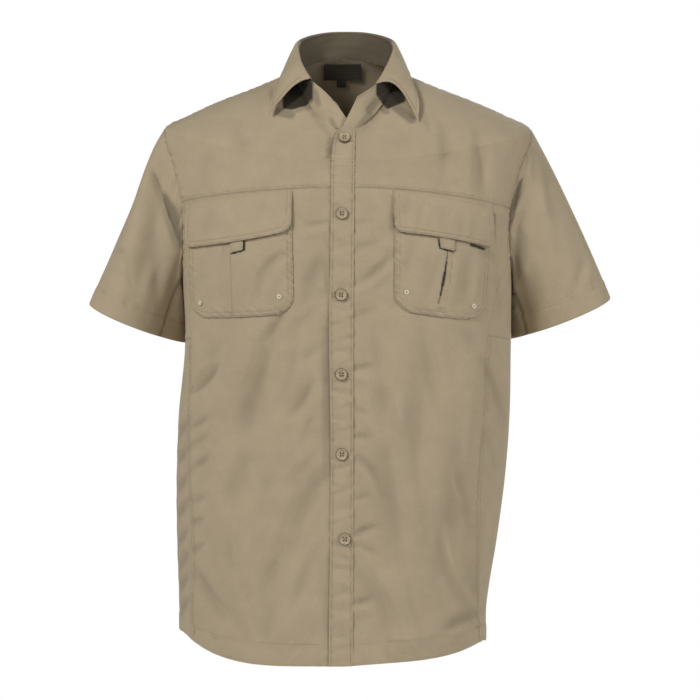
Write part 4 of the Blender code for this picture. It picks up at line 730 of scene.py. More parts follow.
def body(angle, level, lift=0.0):
    """Points of the body's cloth, lifted off its middle surface."""
    angle, level = spread(angle, level)
    point = bare_body(angle, level)
    facing = np.cos(np.radians(angle))
    front = fold_relief(point[..., 0], point[..., 2], FRONT_FOLDS + FRONT_CREASES)
    back = fold_relief(point[..., 0], point[..., 2], BACK_FOLDS + BACK_CREASES)
    relief = np.where(facing > 0, front, back) * ease(np.abs(facing) / FOLDS_FADE_AT_SIDE)
    return point + body_normal(angle, level) * (relief + lift)[..., None]


def halving(top, rounds, is_low):
    """The numbers between nought and a top at which is_low stops being true, found by halving."""
    low, high = np.zeros(np.shape(top)), top
    for _ in range(rounds):
        middle = (low + high) / 2
        short = is_low(middle)
        low, high = np.where(short, middle, low), np.where(short, high, middle)
    return middle


def angle_for_x(x, level):
    """The angles at which the front has these x at these levels."""
    x, level = spread(x, level)
    half = np.where(x >= 0, column(RINGS, "level", "right", level), column(RINGS, "level", "left", level))
    square = column(RINGS, "level", "square", level)
    aim = np.minimum(np.abs(x), half)

    def is_low(angle):
        s, c = np.sin(np.radians(angle)), np.cos(np.radians(angle))
        return half * s * (s**square + c**square) ** (-1 / square) < aim

    return np.where(x >= 0, 1, -1) * halving(np.full(x.shape, 90.0), ANGLE_HALVINGS, is_low)


def spot(x, z):
    """(angle, level) of the points of the front with these x and z."""
    x, z = spread(x, z)

    def is_low(level):
        return bare_body(angle_for_x(x, level), level)[..., 2] > z

    level = halving(np.full(x.shape, HEM_LEVEL), LEVEL_HALVINGS, is_low)
    return angle_for_x(x, level), level


def back_spot(x, z):
    """(angle, level) of the points of the back with these x and z."""
    x, z = spread(x, z)

    def angle_at(level):
        share = x / column(RINGS, "level", "right", level)
        return 180 - np.degrees(np.arcsin(np.clip(share, -0.9, 0.9)))

    def is_low(level):
        return bare_body(angle_at(level), level)[..., 2] > z

    level = halving(np.full(x.shape, HEM_LEVEL), LEVEL_HALVINGS, is_low)
    return angle_at(level), level


def arm_point(step, side):
    """(angle, level) of points of the armhole. Step 0 is its top, and steps run over the front."""
    turn = 2 * math.pi * np.asarray(step, float) / ARM_STEPS
    middle, half = (ARM_TOP + ARM_LOW) / 2, (ARM_LOW - ARM_TOP) / 2
    angle = ARM_ANGLE - ARM_SPREAD * np.sin(turn)
    return side_sign(side) * angle, middle - half * np.cos(turn)


def side_sign(side):
    """The sign of x on a side."""
    return -1 if side == "left" else 1


def level_at(row):
    """The level of a row, whole or between two rows."""
    row = np.asarray(row, float)
    steps = np.clip(row - SHOULDER_ROWS, 0, ARM_STEPS / 2)
    level = np.where(row < SHOULDER_ROWS, ARM_TOP * row / SHOULDER_ROWS, arm_point(steps, "right")[1])
    vent = ARM_LOW + (VENT_LEVEL - ARM_LOW) * (row - ARM_LOW_ROW) / VENT_ROWS
    skirt = VENT_LEVEL + (HEM_LEVEL - VENT_LEVEL) * (row - VENT_ROW) / SKIRT_ROWS
    level = np.where(row > ARM_LOW_ROW, vent, level)
    return np.where(row > VENT_ROW, skirt, level)


def panel_end(row, side, face):
    """The angle, without its sign, where the front or the back ends at a row: at the shoulder seam, the
    armhole or the side seam."""
    row = np.asarray(row, float)
    step = np.clip(row - SHOULDER_ROWS, 0, SIDE_SEAM_STEP)
    hole = np.abs(arm_point(step if face == "front" else -step, side)[0])
    seam = column(RINGS, "level", "seam_" + side, level_at(row))
    seam = seam if face == "front" else 2 * ARM_ANGLE - seam
    below = np.where(row > SEAM_ROW, seam, hole)
    return np.where(row < SHOULDER_ROWS, ARM_ANGLE, below)


def side_spot(share, row, side):
    """(angle, level) on the side of the body, share from the front seam to the back seam. The vent panel
    is a patch between four edges: the armhole's foot, its two seams and the seam below it."""
    share, row = spread(share, row)
    front, back = panel_end(row, side, "front"), panel_end(row, side, "back")
    down = np.clip((row - SEAM_ROW) / (VENT_ROW - SEAM_ROW), 0, 1)
    arc = ARM_STEPS - 2 * SIDE_SEAM_STEP
    top_angle, top_level = arm_point(SIDE_SEAM_STEP + share * arc, side)
    seam_level = level_at(SEAM_ROW)
    corner = [panel_end(r, side, face) for r in (SEAM_ROW, VENT_ROW) for face in ("front", "back")]
    values = (
        (np.abs(top_angle), corner[2] + (corner[3] - corner[2]) * share, front, back, corner),
        (top_level, VENT_LEVEL, level_at(row), level_at(row), [seam_level] * 2 + [VENT_LEVEL] * 2),
    )
    spot_at = []
    for top, low, start, end, c in values:
        upper, lower = (1 - share) * c[0] + share * c[1], (1 - share) * c[2] + share * c[3]
        straight = (1 - down) * upper + down * lower
        spot_at.append((1 - down) * top + down * low + (1 - share) * start + share * end - straight)
    plain = row >= VENT_ROW
    angle = np.where(plain, front + (back - front) * share, spot_at[0])
    return side_sign(side) * angle, np.where(plain, level_at(row), spot_at[1])


# The sleeves' surface.


def cuff_point(turn, side):
    """Points of the cuff's edge. turn is 0 at its outer top and 90 at its front."""
    cuff, sign = CUFFS[side], side_sign(side)
    tilt, angle = math.radians(cuff.tilt), np.radians(np.asarray(turn, float))[..., None]
    outward = np.array([sign * math.cos(tilt), 0, math.sin(tilt)])
    front = np.array([0, -cuff.deep, -CUFF_FRONT_DROP])
    back = CUFF_Y + CUFF_SWING * (1 - np.cos(angle)) / 2
    centre = np.array([cuff.x, 0, cuff.z]) + back * np.array([0, 1, 0])
    return centre + outward * (cuff.across * np.cos(angle)) + front * np.sin(angle)


def bare_sleeve(turn, along, side):
    """Points of the smooth sleeve: curves from the armhole, which leave sideways, to the cuff."""
    turn, along = spread(turn, along)
    sign = side_sign(side)
    angle, level = arm_point(turn * ARM_STEPS / 360, side)
    start, end = body(angle, level), cuff_point(turn, side)
    over = (1 + np.cos(np.radians(turn))) / 2
    fall = np.radians(SLEEVE_UNDER.fall + (SLEEVE_OVER.fall - SLEEVE_UNDER.fall) * over)
    pull = SLEEVE_UNDER.pull + (SLEEVE_OVER.pull - SLEEVE_UNDER.pull) * over
    tilt = math.radians(CUFFS[side].tilt)
    chord = np.linalg.norm(end - start, axis=-1)
    way = np.stack([sign * np.cos(fall), np.zeros(fall.shape), -np.sin(fall)], axis=-1)
    leave = way * (chord * pull)[..., None]
    arrive = np.array([sign * math.sin(tilt), 0, -math.cos(tilt)]) * (chord * SLEEVE_ARRIVE)[..., None]
    a, b, c, d = cubic(along[..., None])
    return start * a + leave * b + end * c + arrive * d


def sleeve_lengths(turns, side):
    """The straight way from the armhole to the cuff at turns round the sleeve."""
    return np.linalg.norm(bare_sleeve(turns, 1.0, side) - bare_sleeve(turns, 0.0, side), axis=-1)


def sleeve_normal(turn, along, side):
    """The smooth sleeve's outward normals."""
    low, high = np.maximum(along - 0.02, 0), np.minimum(along + 0.02, 1)
    round_it = bare_sleeve(turn + 1, along, side) - bare_sleeve(turn - 1, along, side)
    down_it = bare_sleeve(turn, high, side) - bare_sleeve(turn, low, side)
    return unit(np.cross(round_it, down_it) * side_sign(side))


def sleeve(turn, along, side, lift=0.0):
    """Points of the sleeve's cloth. Its folds fade at the armhole, where it is sewn to the body."""
    turn, along = spread(turn, along)
    total = np.zeros(turn.shape)
    for f in SLEEVE_FOLDS[side]:
        here = ((turn - f.turn0 + 180) % 360 - 180 + f.turn0) / LENGTH_TURN
        start, end, width = (v / LENGTH_TURN for v in (f.turn0, f.turn1, f.width))
        total += fold_relief(here, along, [Fold(start, f.along0, end, f.along1, width, f.depth)])
    plain = bare_sleeve(turn, along, side)
    seen = fold_relief(plain[..., 0], plain[..., 2], SLEEVE_CREASES[side])
    total += seen * ease(np.sin(np.radians(turn)) / SLEEVE_FACING)
    out = total * ease(along / SEWN_SHARE) + lift
    return plain + sleeve_normal(turn, along, side) * out[..., None]


# Grids and shells.


def run_along(points, axis):
    """Distances along a grid's columns, axis 0, or rows, axis 1, from their first point."""
    gaps = np.linalg.norm(np.diff(points, axis=axis), axis=-1)
    start = np.zeros_like(gaps[:, :1] if axis else gaps[:1])
    return np.concatenate([start, np.cumsum(gaps, axis=axis)], axis=axis)


def grid_normals(points, closed=False):
    """The outward side of a grid of points that runs down in rows and to the viewer's right in columns."""
    if closed:
        ahead = np.roll(points, -1, axis=1) - np.roll(points, 1, axis=1)
    else:
        ahead = np.gradient(points, axis=1)
    down = np.gradient(points, axis=0)
    return unit(np.cross(down, ahead))


def fine_rows(first, last, cell):
    """Rows between two whole rows, about a cell apart on the cloth, with the whole rows among them."""
    rows = [float(first)]
    for i in range(first, last):
        tall = float(level_at(i + 1) - level_at(i))
        if SHOULDER_ROWS <= i < SEAM_ROW:
            tall = max(tall, ARM_ROW_TALL)
        count = max(int(round(tall / cell)), 1)
        rows += [i + (k + 1) / count for k in range(count)]
    return np.array(rows)


def ticks(width, count, fine=SEAM_TICKS):
    """Distances across rows of the given widths, close together at both sides. count is the number in
    between, and in a narrow row the fine ones keep a gap between the two sides."""
    width = np.asarray(width, float)[:, None]
    start = np.array(fine) * np.minimum(1, width / (TICKS_NEED * fine[-1]))
    last = start[:, -1:]
    middle = last + (width - 2 * last) * np.linspace(0, 1, count + 2)[1:-1]
    return np.concatenate([start, middle, width - start[:, ::-1]], axis=1)


def topstitched(distance):
    """The relief beside a seam on the side that lies on top: a thicker felled strip with two rows of
    stitches pulled in."""
    strip = FELL_RISE * (1 - ease((distance - FELL_WIDE) / FELL_FADE)) * ease(distance / FELL_START)
    pulled = sum(bell(distance - stitch, STITCH_WIDE) for stitch in SEAM_STITCHES)
    return strip - STITCH_PULL * pulled - SEAM_SINK * (1 - ease(distance / SEAM_EDGE))


def tucked(distance):
    """The relief beside a seam on the side that goes under."""
    return -TUCK_SINK * (1 - ease(distance / SEAM_EDGE))


def hemmed(distance, deep):
    """The relief of a turned-up hem: thicker up to its row of stitches, with a round edge."""
    strip = HEM_RISE * (1 - ease((distance - deep) / SEAM_EDGE)) * ease(distance / HEM_EDGE)
    return strip - HEM_RISE * bell(distance - deep + HEM_STITCH_IN, HEM_STITCH_WIDE)


def puckers(distance, along, seed, wave=0.010, height=0.0005, reach=0.010):
    """Short ripples across a seam that fade away from it."""
    return height * ripple(along, wave, seed) * bell(distance, reach)


def linked(name, data):
    """A new object in the scene."""
    made = bpy.data.objects.new(name, data)
    bpy.context.collection.objects.link(made)
    return made


def mesh_object(name, points, faces, finish, smooth_angle=35):
    """A mesh object from lists of points and of faces with any number of corners."""
    mesh = bpy.data.meshes.new(name)
    mesh.from_pydata(points, [], faces)
    mesh.shade_smooth()
    mesh.set_sharp_from_angle(angle=math.radians(smooth_angle))
    mesh.materials.append(finish)
    return linked(name, mesh)


def build_mesh(name, points, faces, finish, uv, shade, inside):
    """A cloth object: its own face's and its inner face's material, a UV map in metres of cloth and the
    shade of its hollows. inside is the second material and the numbers of its first and last face."""
    made = mesh_object(name, points.tolist(), faces.tolist(), finish, smooth_angle=60)
    mesh = made.data
    if inside:
        mesh.materials.append(inside[0])
        which = np.zeros(len(mesh.polygons), np.int32)
        which[inside[1] : inside[2]] = 1
        mesh.polygons.foreach_set("material_index", which)
    corners = np.empty(len(mesh.loops), int)
    mesh.loops.foreach_get("vertex_index", corners)
    layer = mesh.uv_layers.new(name="cloth")
    layer.data.foreach_set("uv", np.asarray(uv, np.float32)[corners].ravel())
    darker = mesh.attributes.new("shade", "FLOAT", "POINT")
    darker.data.foreach_set("value", np.clip(shade, 0, 1).astype(np.float32))
    return made


def grid_faces(rows, columns, closed):
    """Quads of a grid, wound so that its outer side shows."""
    across = np.arange(columns if closed else columns - 1)
    down = np.arange(rows - 1)[:, None]
    following = (across + 1) % columns
    a, b = down * columns + across, down * columns + following
    c, d = b + columns, a + columns
    return np.stack([a, d, c, b], axis=-1).reshape(-1, 4)


def shell_parts(points, outer_lift, thick, closed):
    """Points, faces and UV of a thin closed shell over a grid of middle-surface points."""
    rows, columns = points.shape[:2]
    normal = grid_normals(points, closed)
    outer, inner = points + normal * outer_lift, points + normal * (outer_lift - thick)
    count = rows * columns
    face = grid_faces(rows, columns, closed)
    faces = [face, face[:, ::-1] + count]
    index = np.arange(count).reshape(rows, columns)
    rims = [index[0], index[-1][::-1]]
    if closed:
        rims = [np.append(rim, rim[0]) for rim in rims]
    else:
        rims += [index[::-1, 0], index[:, -1]]
    for rim in rims:
        a, b = rim[:-1], rim[1:]
        faces.append(np.stack([a, b, b + count, a + count], axis=-1))
    u, v = run_along(points, 1), run_along(points, 0)[:, columns // 2]
    u -= u[:, columns // 2][:, None]
    uv = np.stack([u, np.broadcast_to(-v[:, None], u.shape)], axis=-1).reshape(-1, 2)
    both = np.concatenate([outer.reshape(-1, 3), inner.reshape(-1, 3)])
    return both, np.concatenate(faces), np.concatenate([uv, uv])


def shell(name, points, finish, outer_lift=OUTER_FACE, thick=SHELL, closed=False, shade=None, inside=None):
    """A thin closed shell over a grid of middle-surface points. shade has one value a point, and inside is
    the material of its inner face where that has its own."""
    both, faces, uv = shell_parts(points, outer_lift, thick, closed)
    rows, columns = np.shape(points)[:2]
    one_face = (rows - 1) * (columns if closed else columns - 1)
    grid = np.zeros((rows, columns)) if shade is None else shade
    both_shades = np.concatenate([grid.ravel(), grid.ravel()])
    own = (inside, one_face, 2 * one_face) if inside else None
    return build_mesh(name + "_cloth", both, faces, finish, uv, both_shades, own)


# The body's panels.


def widen(angle, level, lift, shade, edge, how):
    """Adds to an edge of a panel a strip that lies under its neighbour."""
    if how != "under":
        return angle, level, lift, shade
    along_rows = edge in ("top", "low")
    grids = [g if along_rows else g.swapaxes(0, 1) for g in (angle, level, lift, shade)]
    if edge in ("low", "end"):
        grids = [g[::-1] for g in grids]
    angle, level, lift, shade = grids
    gap = np.linalg.norm(bare_body(angle[0], level[0]) - bare_body(angle[2], level[2]), axis=-1)
    rate = 1 / np.maximum(gap, 0.0004)
    extra = []
    for far in (ALLOWANCE, ALLOWANCE / 6):
        step = far * rate
        extra.append((angle[0] + (angle[0] - angle[2]) * step, level[0] + (level[0] - level[2]) * step))
    angle = np.concatenate([np.stack([e[0] for e in extra]), angle])
    level = np.concatenate([np.stack([e[1] for e in extra]), level])
    lift = np.concatenate([np.full((2,) + lift[0].shape, -UNDER), lift])
    shade = np.concatenate([shade[:1], shade[:1], shade])
    grids = [angle, level, lift, shade]
    if edge in ("low", "end"):
        grids = [g[::-1] for g in grids]
    return tuple(g if along_rows else g.swapaxes(0, 1) for g in grids)


def panel(name, angle, level, edges, finish, seed, flip=False, sink=0.0, shade=0.0):
    """A panel of the body over a grid of angles and levels. edges says how each edge is sewn: "over",
    "under", "hem" or "free". finish is the outer and the inner face's material."""
    flat = bare_body(angle, level)
    from_start, from_top = run_along(flat, 1), run_along(flat, 0)
    away = {
        "start": from_start,
        "end": from_start[:, -1:] - from_start,
        "top": from_top,
        "low": from_top[-1:] - from_top,
    }
    lift = np.zeros(angle.shape) - sink
    shade = np.zeros(angle.shape) + shade
    for number, (edge, how) in enumerate(edges.items()):
        distance = away[edge]
        along = from_top if edge in ("start", "end") else from_start
        if how == "over":
            lift += topstitched(distance) + puckers(distance, along, seed + number)
            shade += edge_shade(distance, OVER_SHADE)
        if how == "under":
            lift += tucked(distance) + puckers(distance, along, seed + number, reach=TUCK_PUCKERS)
            shade += edge_shade(distance, UNDER_SHADE)
        if how == "hem":
            lift += hemmed(distance, BODY_HEM)
            roping = bell(distance - BODY_HEM * ROPING_FROM, ROPING_REACH)
            lift += ROPING_RISE * roping * ripple(along + ROPING_SLANT * distance, ROPING_WAVE, seed)
            shade += edge_shade(distance - BODY_HEM, HEM_SHADE)
    for edge, how in edges.items():
        angle, level, lift, shade = widen(angle, level, lift, shade, edge, how)
    points = body(angle, level, lift)
    points += weave_drift(points)
    if flip:
        points, shade = points[:, ::-1], shade[:, ::-1]
    return shell(name, points, finish[0], shade=shade, inside=finish[1])


def weave_drift(points):
    """A slight unevenness all over the cloth, between its folds."""
    wave = []
    for p in points.reshape(-1, 3).tolist():
        wave.append(noise.noise(Vector(p) / DRIFT_WAVE) + 0.5 * noise.noise(Vector(p) / DRIFT_FINE_WAVE))
    return np.array(wave).reshape(points.shape[:2])[..., None] * np.array([0.0, -DRIFT, 0.0])


def between_angles(start, end, distances):
    """Angles at distances from the start, for rows of them."""
    share = distances / distances[:, -1:]
    return start[:, None] + (end - start)[:, None] * share


def band_edges(levels):
    """x of the button band's outer and inner edge where the centre front has these levels."""
    z = bare_body(np.zeros(np.shape(levels)), levels)[..., 2]
    return column(BAND, "z", "outer", z), column(BAND, "z", "inner", z)


def front_panel(side, part, finish):
    """A front, above or below the chest seam. The left one's edge lies under the button band."""
    first, last = (0, CHEST_ROW) if part == "upper" else (CHEST_ROW, LAST_ROW)
    rows = fine_rows(first, last, FRONT_CELL)
    levels = level_at(rows)
    middle_z = bare_body(np.zeros(len(rows)), levels)[..., 2]
    inner_x = column(BAND, "z", "inner", middle_z)
    outer_x = column(BAND, "z", "outer", middle_z)
    start = angle_for_x(outer_x if side == "right" else inner_x, levels)
    end = side_sign(side) * panel_end(rows, side, "front")
    width = np.linalg.norm(bare_body(start, levels) - bare_body(end, levels), axis=-1)
    distances = ticks(width * PANEL_ROUND, int(FRONT_WIDE / FRONT_CELL))
    angle = between_angles(start, end, distances)
    level = np.broadcast_to(levels[:, None], angle.shape)
    flat = bare_body(angle, level)
    x, z = flat[..., 0], flat[..., 2]
    shade = 1 - (1 - shade_of(x, z, SHADES["front"])) * (1 - contact_shade(x, z, side, ("pocket", "flap")))
    shade = np.maximum(shade + crease_shade(x, z, FRONT_CREASES), gap_shade(x, z, GAPS["collar"]))
    sink = 0.0
    if side == "left":
        sink = LAYER * (1 - ease((distances - BAND_LAP) / BAND_LAP_FADE))
        shade += edge_shade(x - outer_x[:, None], BAND_SHADE)
    else:
        shade += edge_shade(x - inner_x[:, None], SEAM_SHADE)
    upper = part == "upper"
    edges = {"start": "free", "end": "under"}
    edges["top" if upper else "low"] = "under" if upper else "hem"
    edges["low" if upper else "top"] = "over" if upper else "under"
    name = f"front_{side}_{part}"
    return panel(name, angle, level, edges, finish, len(name) + side_sign(side), side == "left", sink, shade)


def back_piece(name, first, last, edges, finish):
    """The yoke or the back."""
    rows = fine_rows(first, last, CELL)
    levels = level_at(rows)
    start = panel_end(rows, "right", "back")
    end = 360 - panel_end(rows, "left", "back")
    middle = bare_body(180.0, levels)
    width = np.linalg.norm(bare_body(start, levels) - middle, axis=-1)
    width += np.linalg.norm(bare_body(end, levels) - middle, axis=-1)
    distances = ticks(width * PANEL_ROUND, int(BACK_WIDE / CELL))
    angle = between_angles(start, end, distances)
    level = np.broadcast_to(levels[:, None], angle.shape)
    return panel(name, angle, level, edges, finish, len(name))


def side_piece(side, part, finish):
    """The vent panel under an arm, or the side panel below it."""
    first, last = (SEAM_ROW, VENT_ROW) if part == "side_vent" else (VENT_ROW, LAST_ROW)
    rows = fine_rows(first, last, FRONT_CELL)
    near_seam = np.array(SEAM_TICKS) / SIDE_WIDE
    share = np.unique(np.concatenate([np.linspace(0, 1, SIDE_COLUMNS), near_seam, 1 - near_seam]))
    angle, level = side_spot(share[None, :], rows[:, None], side)
    edges = {"start": "under", "end": "under", "top": "under", "low": "over"}
    if part == "side_panel":
        edges = {"start": "over", "end": "over", "top": "under", "low": "hem"}
    flat = bare_body(angle, level)
    shade = crease_shade(flat[..., 0], flat[..., 2], FRONT_CREASES) * ease(-flat[..., 1] / FRONT_REACH)
    seed = 5 + side_sign(side)
    return panel(f"{part}_{side}", angle, level, edges, finish, seed, side == "left", 0.0, shade)


def sleeve_piece(side, finish):
    """A sleeve: its edge goes under the body's at the armhole, and its cuff is turned up."""
    turns = np.arange(0, 360, 360 / SLEEVE_COLUMNS)
    length = sleeve_lengths(turns, side)
    hem_from = 1 - SLEEVE_HEM / length.mean()
    rows = np.concatenate([SLEEVE_HOLE_ROWS, np.linspace(*SLEEVE_MIDDLE_ROWS)])
    rows = rows[rows < hem_from - 0.02]
    near_hem = hem_from + np.array(SLEEVE_HEM_ROWS)
    hem_rows = np.linspace(hem_from + 0.03, 0.985, 8)
    rows = np.concatenate([rows, near_hem, hem_rows, SLEEVE_EDGE_ROWS])
    t, a = np.meshgrid(turns, rows)
    from_edge, from_hole = (1 - a) * length[None, :], a * length[None, :]
    round_it = t / 360 * CUFF_ROUND
    lift = hemmed(from_edge, SLEEVE_HEM)
    lift += puckers(from_edge - SLEEVE_HEM, round_it, 4.0, wave=0.014, height=0.0004, reach=0.008)
    lift += tucked(from_hole) + puckers(from_hole, round_it, 7.0, wave=0.014, height=0.0009, reach=0.020)
    points = sleeve(t, a, side, lift)
    points += weave_drift(points)
    plain = bare_sleeve(t, a, side)
    x, z = plain[..., 0], plain[..., 2]
    shade = shade_of(x, z, SHADES["sleeve_" + side]) + gap_shade(x, z, GAPS["sleeve_" + side])
    shade = (shade + crease_shade(x, z, SLEEVE_CREASES[side])) * ease(np.sin(np.radians(t)) / SLEEVE_FACING)
    shade += edge_shade(from_hole, UNDER_SHADE) + edge_shade(from_edge - SLEEVE_HEM, HEM_SHADE)
    angle, level = arm_point(turns * ARM_STEPS / 360, side)
    inward_angle = angle + np.sign(angle) * (ARM_ANGLE - np.abs(angle)) * -ARM_UNDERLAP
    inward_level = level + (level - (ARM_TOP + ARM_LOW) / 2) * ARM_UNDERLAP
    points = np.concatenate([body(inward_angle, inward_level, -UNDER)[None], points])
    shade = np.concatenate([shade[:1], shade])
    if side == "right":
        points, shade = points[:, ::-1], shade[:, ::-1]
    return shell(f"sleeve_{side}", points, finish[0], closed=True, shade=shade, inside=finish[1])


# The collar.


def station_point(angle, which):
    """The collar's fold or free edge at angles from -180 to 180, smooth between its stations."""
    angle = np.asarray(angle, float)
    found = []
    for table in (COLLAR_RIGHT, COLLAR_LEFT):
        places = [Place(s.angle, *getattr(s, which)) for s in table if getattr(s, which)]
        mirror = places[-2]
        places.append(Place(360 - mirror.angle, -mirror.x, mirror.y, mirror.z))
        found.append(np.stack([column(places, "angle", c, np.abs(angle)) for c in ("x", "y", "z")], axis=-1))
    return np.where((angle >= 0)[..., None], found[0], found[1])


def edge_angles():
    """The angles at which the right and the left front's edges meet the neck seam."""
    return tuple(float(angle_for_x(x, 0.0)) for x in band_edges(0.0))


def stand_frame(angle):
    """The stand's foot, its top and its outward normal at angles that run 0 to 360. Near the front ends
    the top runs ahead of the foot, out to the ends of the fold."""
    angle = np.asarray(angle, float)
    signed = np.where(angle > 180, angle - 360, angle)
    right_end, left_end = edge_angles()
    foot = body(signed, 0.0, -LAYER * ease((angle - STAND_LAP_FROM) / STAND_LAP_SPAN))
    right_over = STAND_END_SPAN * (angle - right_end) / (STAND_END_SPAN - right_end)
    left_over = -STAND_END_SPAN * (360 + left_end - angle) / (left_end + STAND_END_SPAN)
    over = np.where(angle < STAND_END_SPAN, right_over, signed)
    over = np.where(angle > 360 - STAND_END_SPAN, left_over, over)
    top = station_point(np.where(angle > 180, -1, 1) * np.maximum(np.abs(over), 0.001), "fold")
    ahead = body(signed + 4, 0.0) - body(signed - 4, 0.0)
    return foot, top, unit(np.cross(ahead, top - foot))


def stand_piece(finish):
    """The collar's stand, a firm band that rises from the neck seam."""
    right_end, left_end = edge_angles()
    angles = np.linspace(right_end, 360 + left_end, STAND_COLUMNS)
    foot, top, normal = stand_frame(angles)
    height = np.linalg.norm(top - foot, axis=-1)
    rows = np.linspace(0, 1, STAND_ROWS)[:, None, None]
    points = foot + (top - foot) * rows
    bulge = ripple(angles / 360 * NECK_ROUND, STAND_BULGE_WAVE, 2.0)
    bulge = STAND_BULGE * np.sin(math.pi * rows[..., 0]) * bulge
    bulge += STAND_RIPPLE * ripple(height * rows[..., 0], STAND_RIPPLE_WAVE, 1.0)
    points += normal * bulge[..., None]
    points = points[::-1]
    x, z = points[..., 0], points[..., 2]
    ahead = -points[..., 1] / STAND_SHADE_FADE
    shade = np.maximum(shade_of(x, z, SHADES["stand"]), gap_shade(x, z, GAPS["collar"]))
    shade = shade * ease(ahead) + STAND_INNER_SHADE * ease(-ahead)
    return shell("collar_stand", points, finish[0], FIRM_OUTER_FACE, 2 * SHELL, shade=shade, inside=finish[1])


def leaf_ends():
    """The angles at which the leaf starts and ends."""
    return min(s.angle for s in COLLAR_RIGHT if s.edge), 360 - min(s.angle for s in COLLAR_LEFT if s.edge)


def arched(angles, share):
    """The angles of a row of the leaf, whose two front edges arch back from a straight line."""
    first, last = leaf_ends()
    bend = math.sin(math.pi * share**COLLAR_ARCH_POWER)
    low, high = first + COLLAR_ARCH["right"] * bend, last - COLLAR_ARCH["left"] * bend
    return low + (high - low) * (angles - first) / (last - first)


def leaf_sections(angles, drops):
    """The collar leaf's middle surface: up from the stand, over the roll and down to the free edge."""
    rows = []
    for share in [None] * ROLL_ROWS + list(drops[1:]):
        here = angles if share is None else arched(angles, share)
        foot, fold, outward = stand_frame(here)
        rise = unit(fold - foot)
        turn = math.radians(ROLL_STEP * min(len(rows), ROLL_ROWS - 1))
        up, out = ROLL_LIFT + COLLAR_ROLL * math.sin(turn), COLLAR_ROLL * (1 - math.cos(turn))
        roll = fold + rise * up + outward * out
        if share is None:
            rows.append(roll)
        else:
            edge = station_point(np.where(here > 180, here - 360, here), "edge")
            bulge = outward * (COLLAR_BULGE * 4 * share * (1 - share))
            rows.append(roll + (edge - roll) * share + bulge)
    return np.stack(rows)


def leaf_piece(finish):
    """The collar leaf, from one point round the back of the neck to the other, its edge turned and
    topstitched."""
    first, last = leaf_ends()
    fine = np.array(LEAF_TICKS[:-1])
    middle = np.linspace(first + LEAF_TICKS[-1], last - LEAF_TICKS[-1], LEAF_COLUMNS)
    angles = np.concatenate([first + fine, middle, last - fine[::-1]])
    drops = np.concatenate([np.linspace(0, 0.84, 15), LEAF_LOW_DROPS])
    points = leaf_sections(angles, drops)
    from_start, from_top = run_along(points, 1), run_along(points, 0)
    edge = np.minimum(from_top[-1:] - from_top, np.minimum(from_start, from_start[:, -1:] - from_start))
    lift = edge_relief(edge, (COLLAR_STITCH,), LEAF_EDGE)
    lift += puckers(edge, from_start, 3.0, wave=0.018, height=0.0004, reach=0.010)
    lift *= ease(from_top / LEAF_RELIEF_FROM)
    rows = np.arange(len(points))[:, None]
    at_back = ease((ROLL_SHADE_ANGLE - np.abs(angles - 180)) / ROLL_SHADE_FADE)
    shade = ROLL_SHADE * ease((ROLL_SHADE_ROWS - rows) / 2) * at_back
    lifted = points + grid_normals(points) * lift[..., None]
    return shell("collar_leaf", lifted, finish[0], FIRM_OUTER_FACE, 2 * SHELL, shade=shade)


# The button band, pockets, flaps and tabs: they lie on the fronts.


def band_piece(finish):
    """The button band, stitched along both edges, with small puckers between its stitches."""
    levels = level_at(fine_rows(0, LAST_ROW, BAND_CELL)[1:])
    outer, inner = band_edges(levels)
    width = inner - outer
    distances = ticks(width, BAND_COLUMNS, BAND_TICKS)
    angle = angle_for_x(outer[:, None] + distances, levels[:, None])
    level = np.broadcast_to(levels[:, None], angle.shape)
    from_inner = width[:, None] - distances
    edge = np.minimum(distances, from_inner)
    lift = LAYER + edge_relief(edge, (BAND_STITCH,), BAND_EDGE)
    lift += puckers(distances - 0.001, level, 1.3, wave=0.011, height=0.0006, reach=0.007)
    lift += puckers(from_inner, level, 5.1, wave=0.013, height=0.0007, reach=0.009)
    lift += BAND_SWELL * ripple(level, BAND_SWELL_WAVE, 2.2)
    flat = bare_body(angle, level)
    shade = edge_shade(edge - BAND_STITCH, BAND_STITCH_SHADE)
    for place in BUTTONS:
        away = np.hypot(flat[..., 0] - place.x, flat[..., 2] - place.z)
        shade += BUTTON_SHADE * (1 - ease((away - BUTTON_RADIUS) / BUTTON_SHADE_REACH))
    return shell("button_band", body(angle, level, lift), finish[0], shade=shade, inside=finish[1])


def patch_point(patch, across, down):
    """(x, z) on a patch."""
    across, down = np.asarray(across, float), np.asarray(down, float)
    place = []
    for axis in range(2):
        top = patch.top_left[axis] + (patch.top_right[axis] - patch.top_left[axis]) * across
        low = patch.low_left[axis] + (patch.low_right[axis] - patch.low_left[axis]) * across
        place.append(top + (low - top) * down)
    return place[0], place[1] - patch.sag * 4 * across * (1 - across) * down


def contact_shade(x, z, side, kinds):
    """The shade beside the edges of a side's pocket, flap or tab, deeper towards the shirt's middle."""
    light = np.ones(x.shape)
    for kind in kinds:
        patch = {"pocket": POCKETS, "flap": FLAPS, "tab": TABS}[kind][side]
        line_x, line_z, _ = patch_outline(patch, -CONTACT_OUT, CONTACT_STEP)
        near = (x > line_x.min() - CONTACT_NEAR) & (x < line_x.max() + CONTACT_NEAR)
        near &= (z > line_z.min() - CONTACT_NEAR) & (z < line_z.max() + CONTACT_NEAR)
        away = np.hypot(x[near][:, None] - line_x, z[near][:, None] - line_z).min(axis=1)
        middle, half = (line_x.max() + line_x.min()) / 2, (line_x.max() - line_x.min()) / 2
        inward = ease(0.5 - CONTACT_TURN * side_sign(side) * (x[near] - middle) / half)
        deep = CONTACT_OUTER + (1 - CONTACT_OUTER) * inward
        light[near] *= 1 - edge_shade(away, CONTACTS[kind]) * deep
    return 1 - light


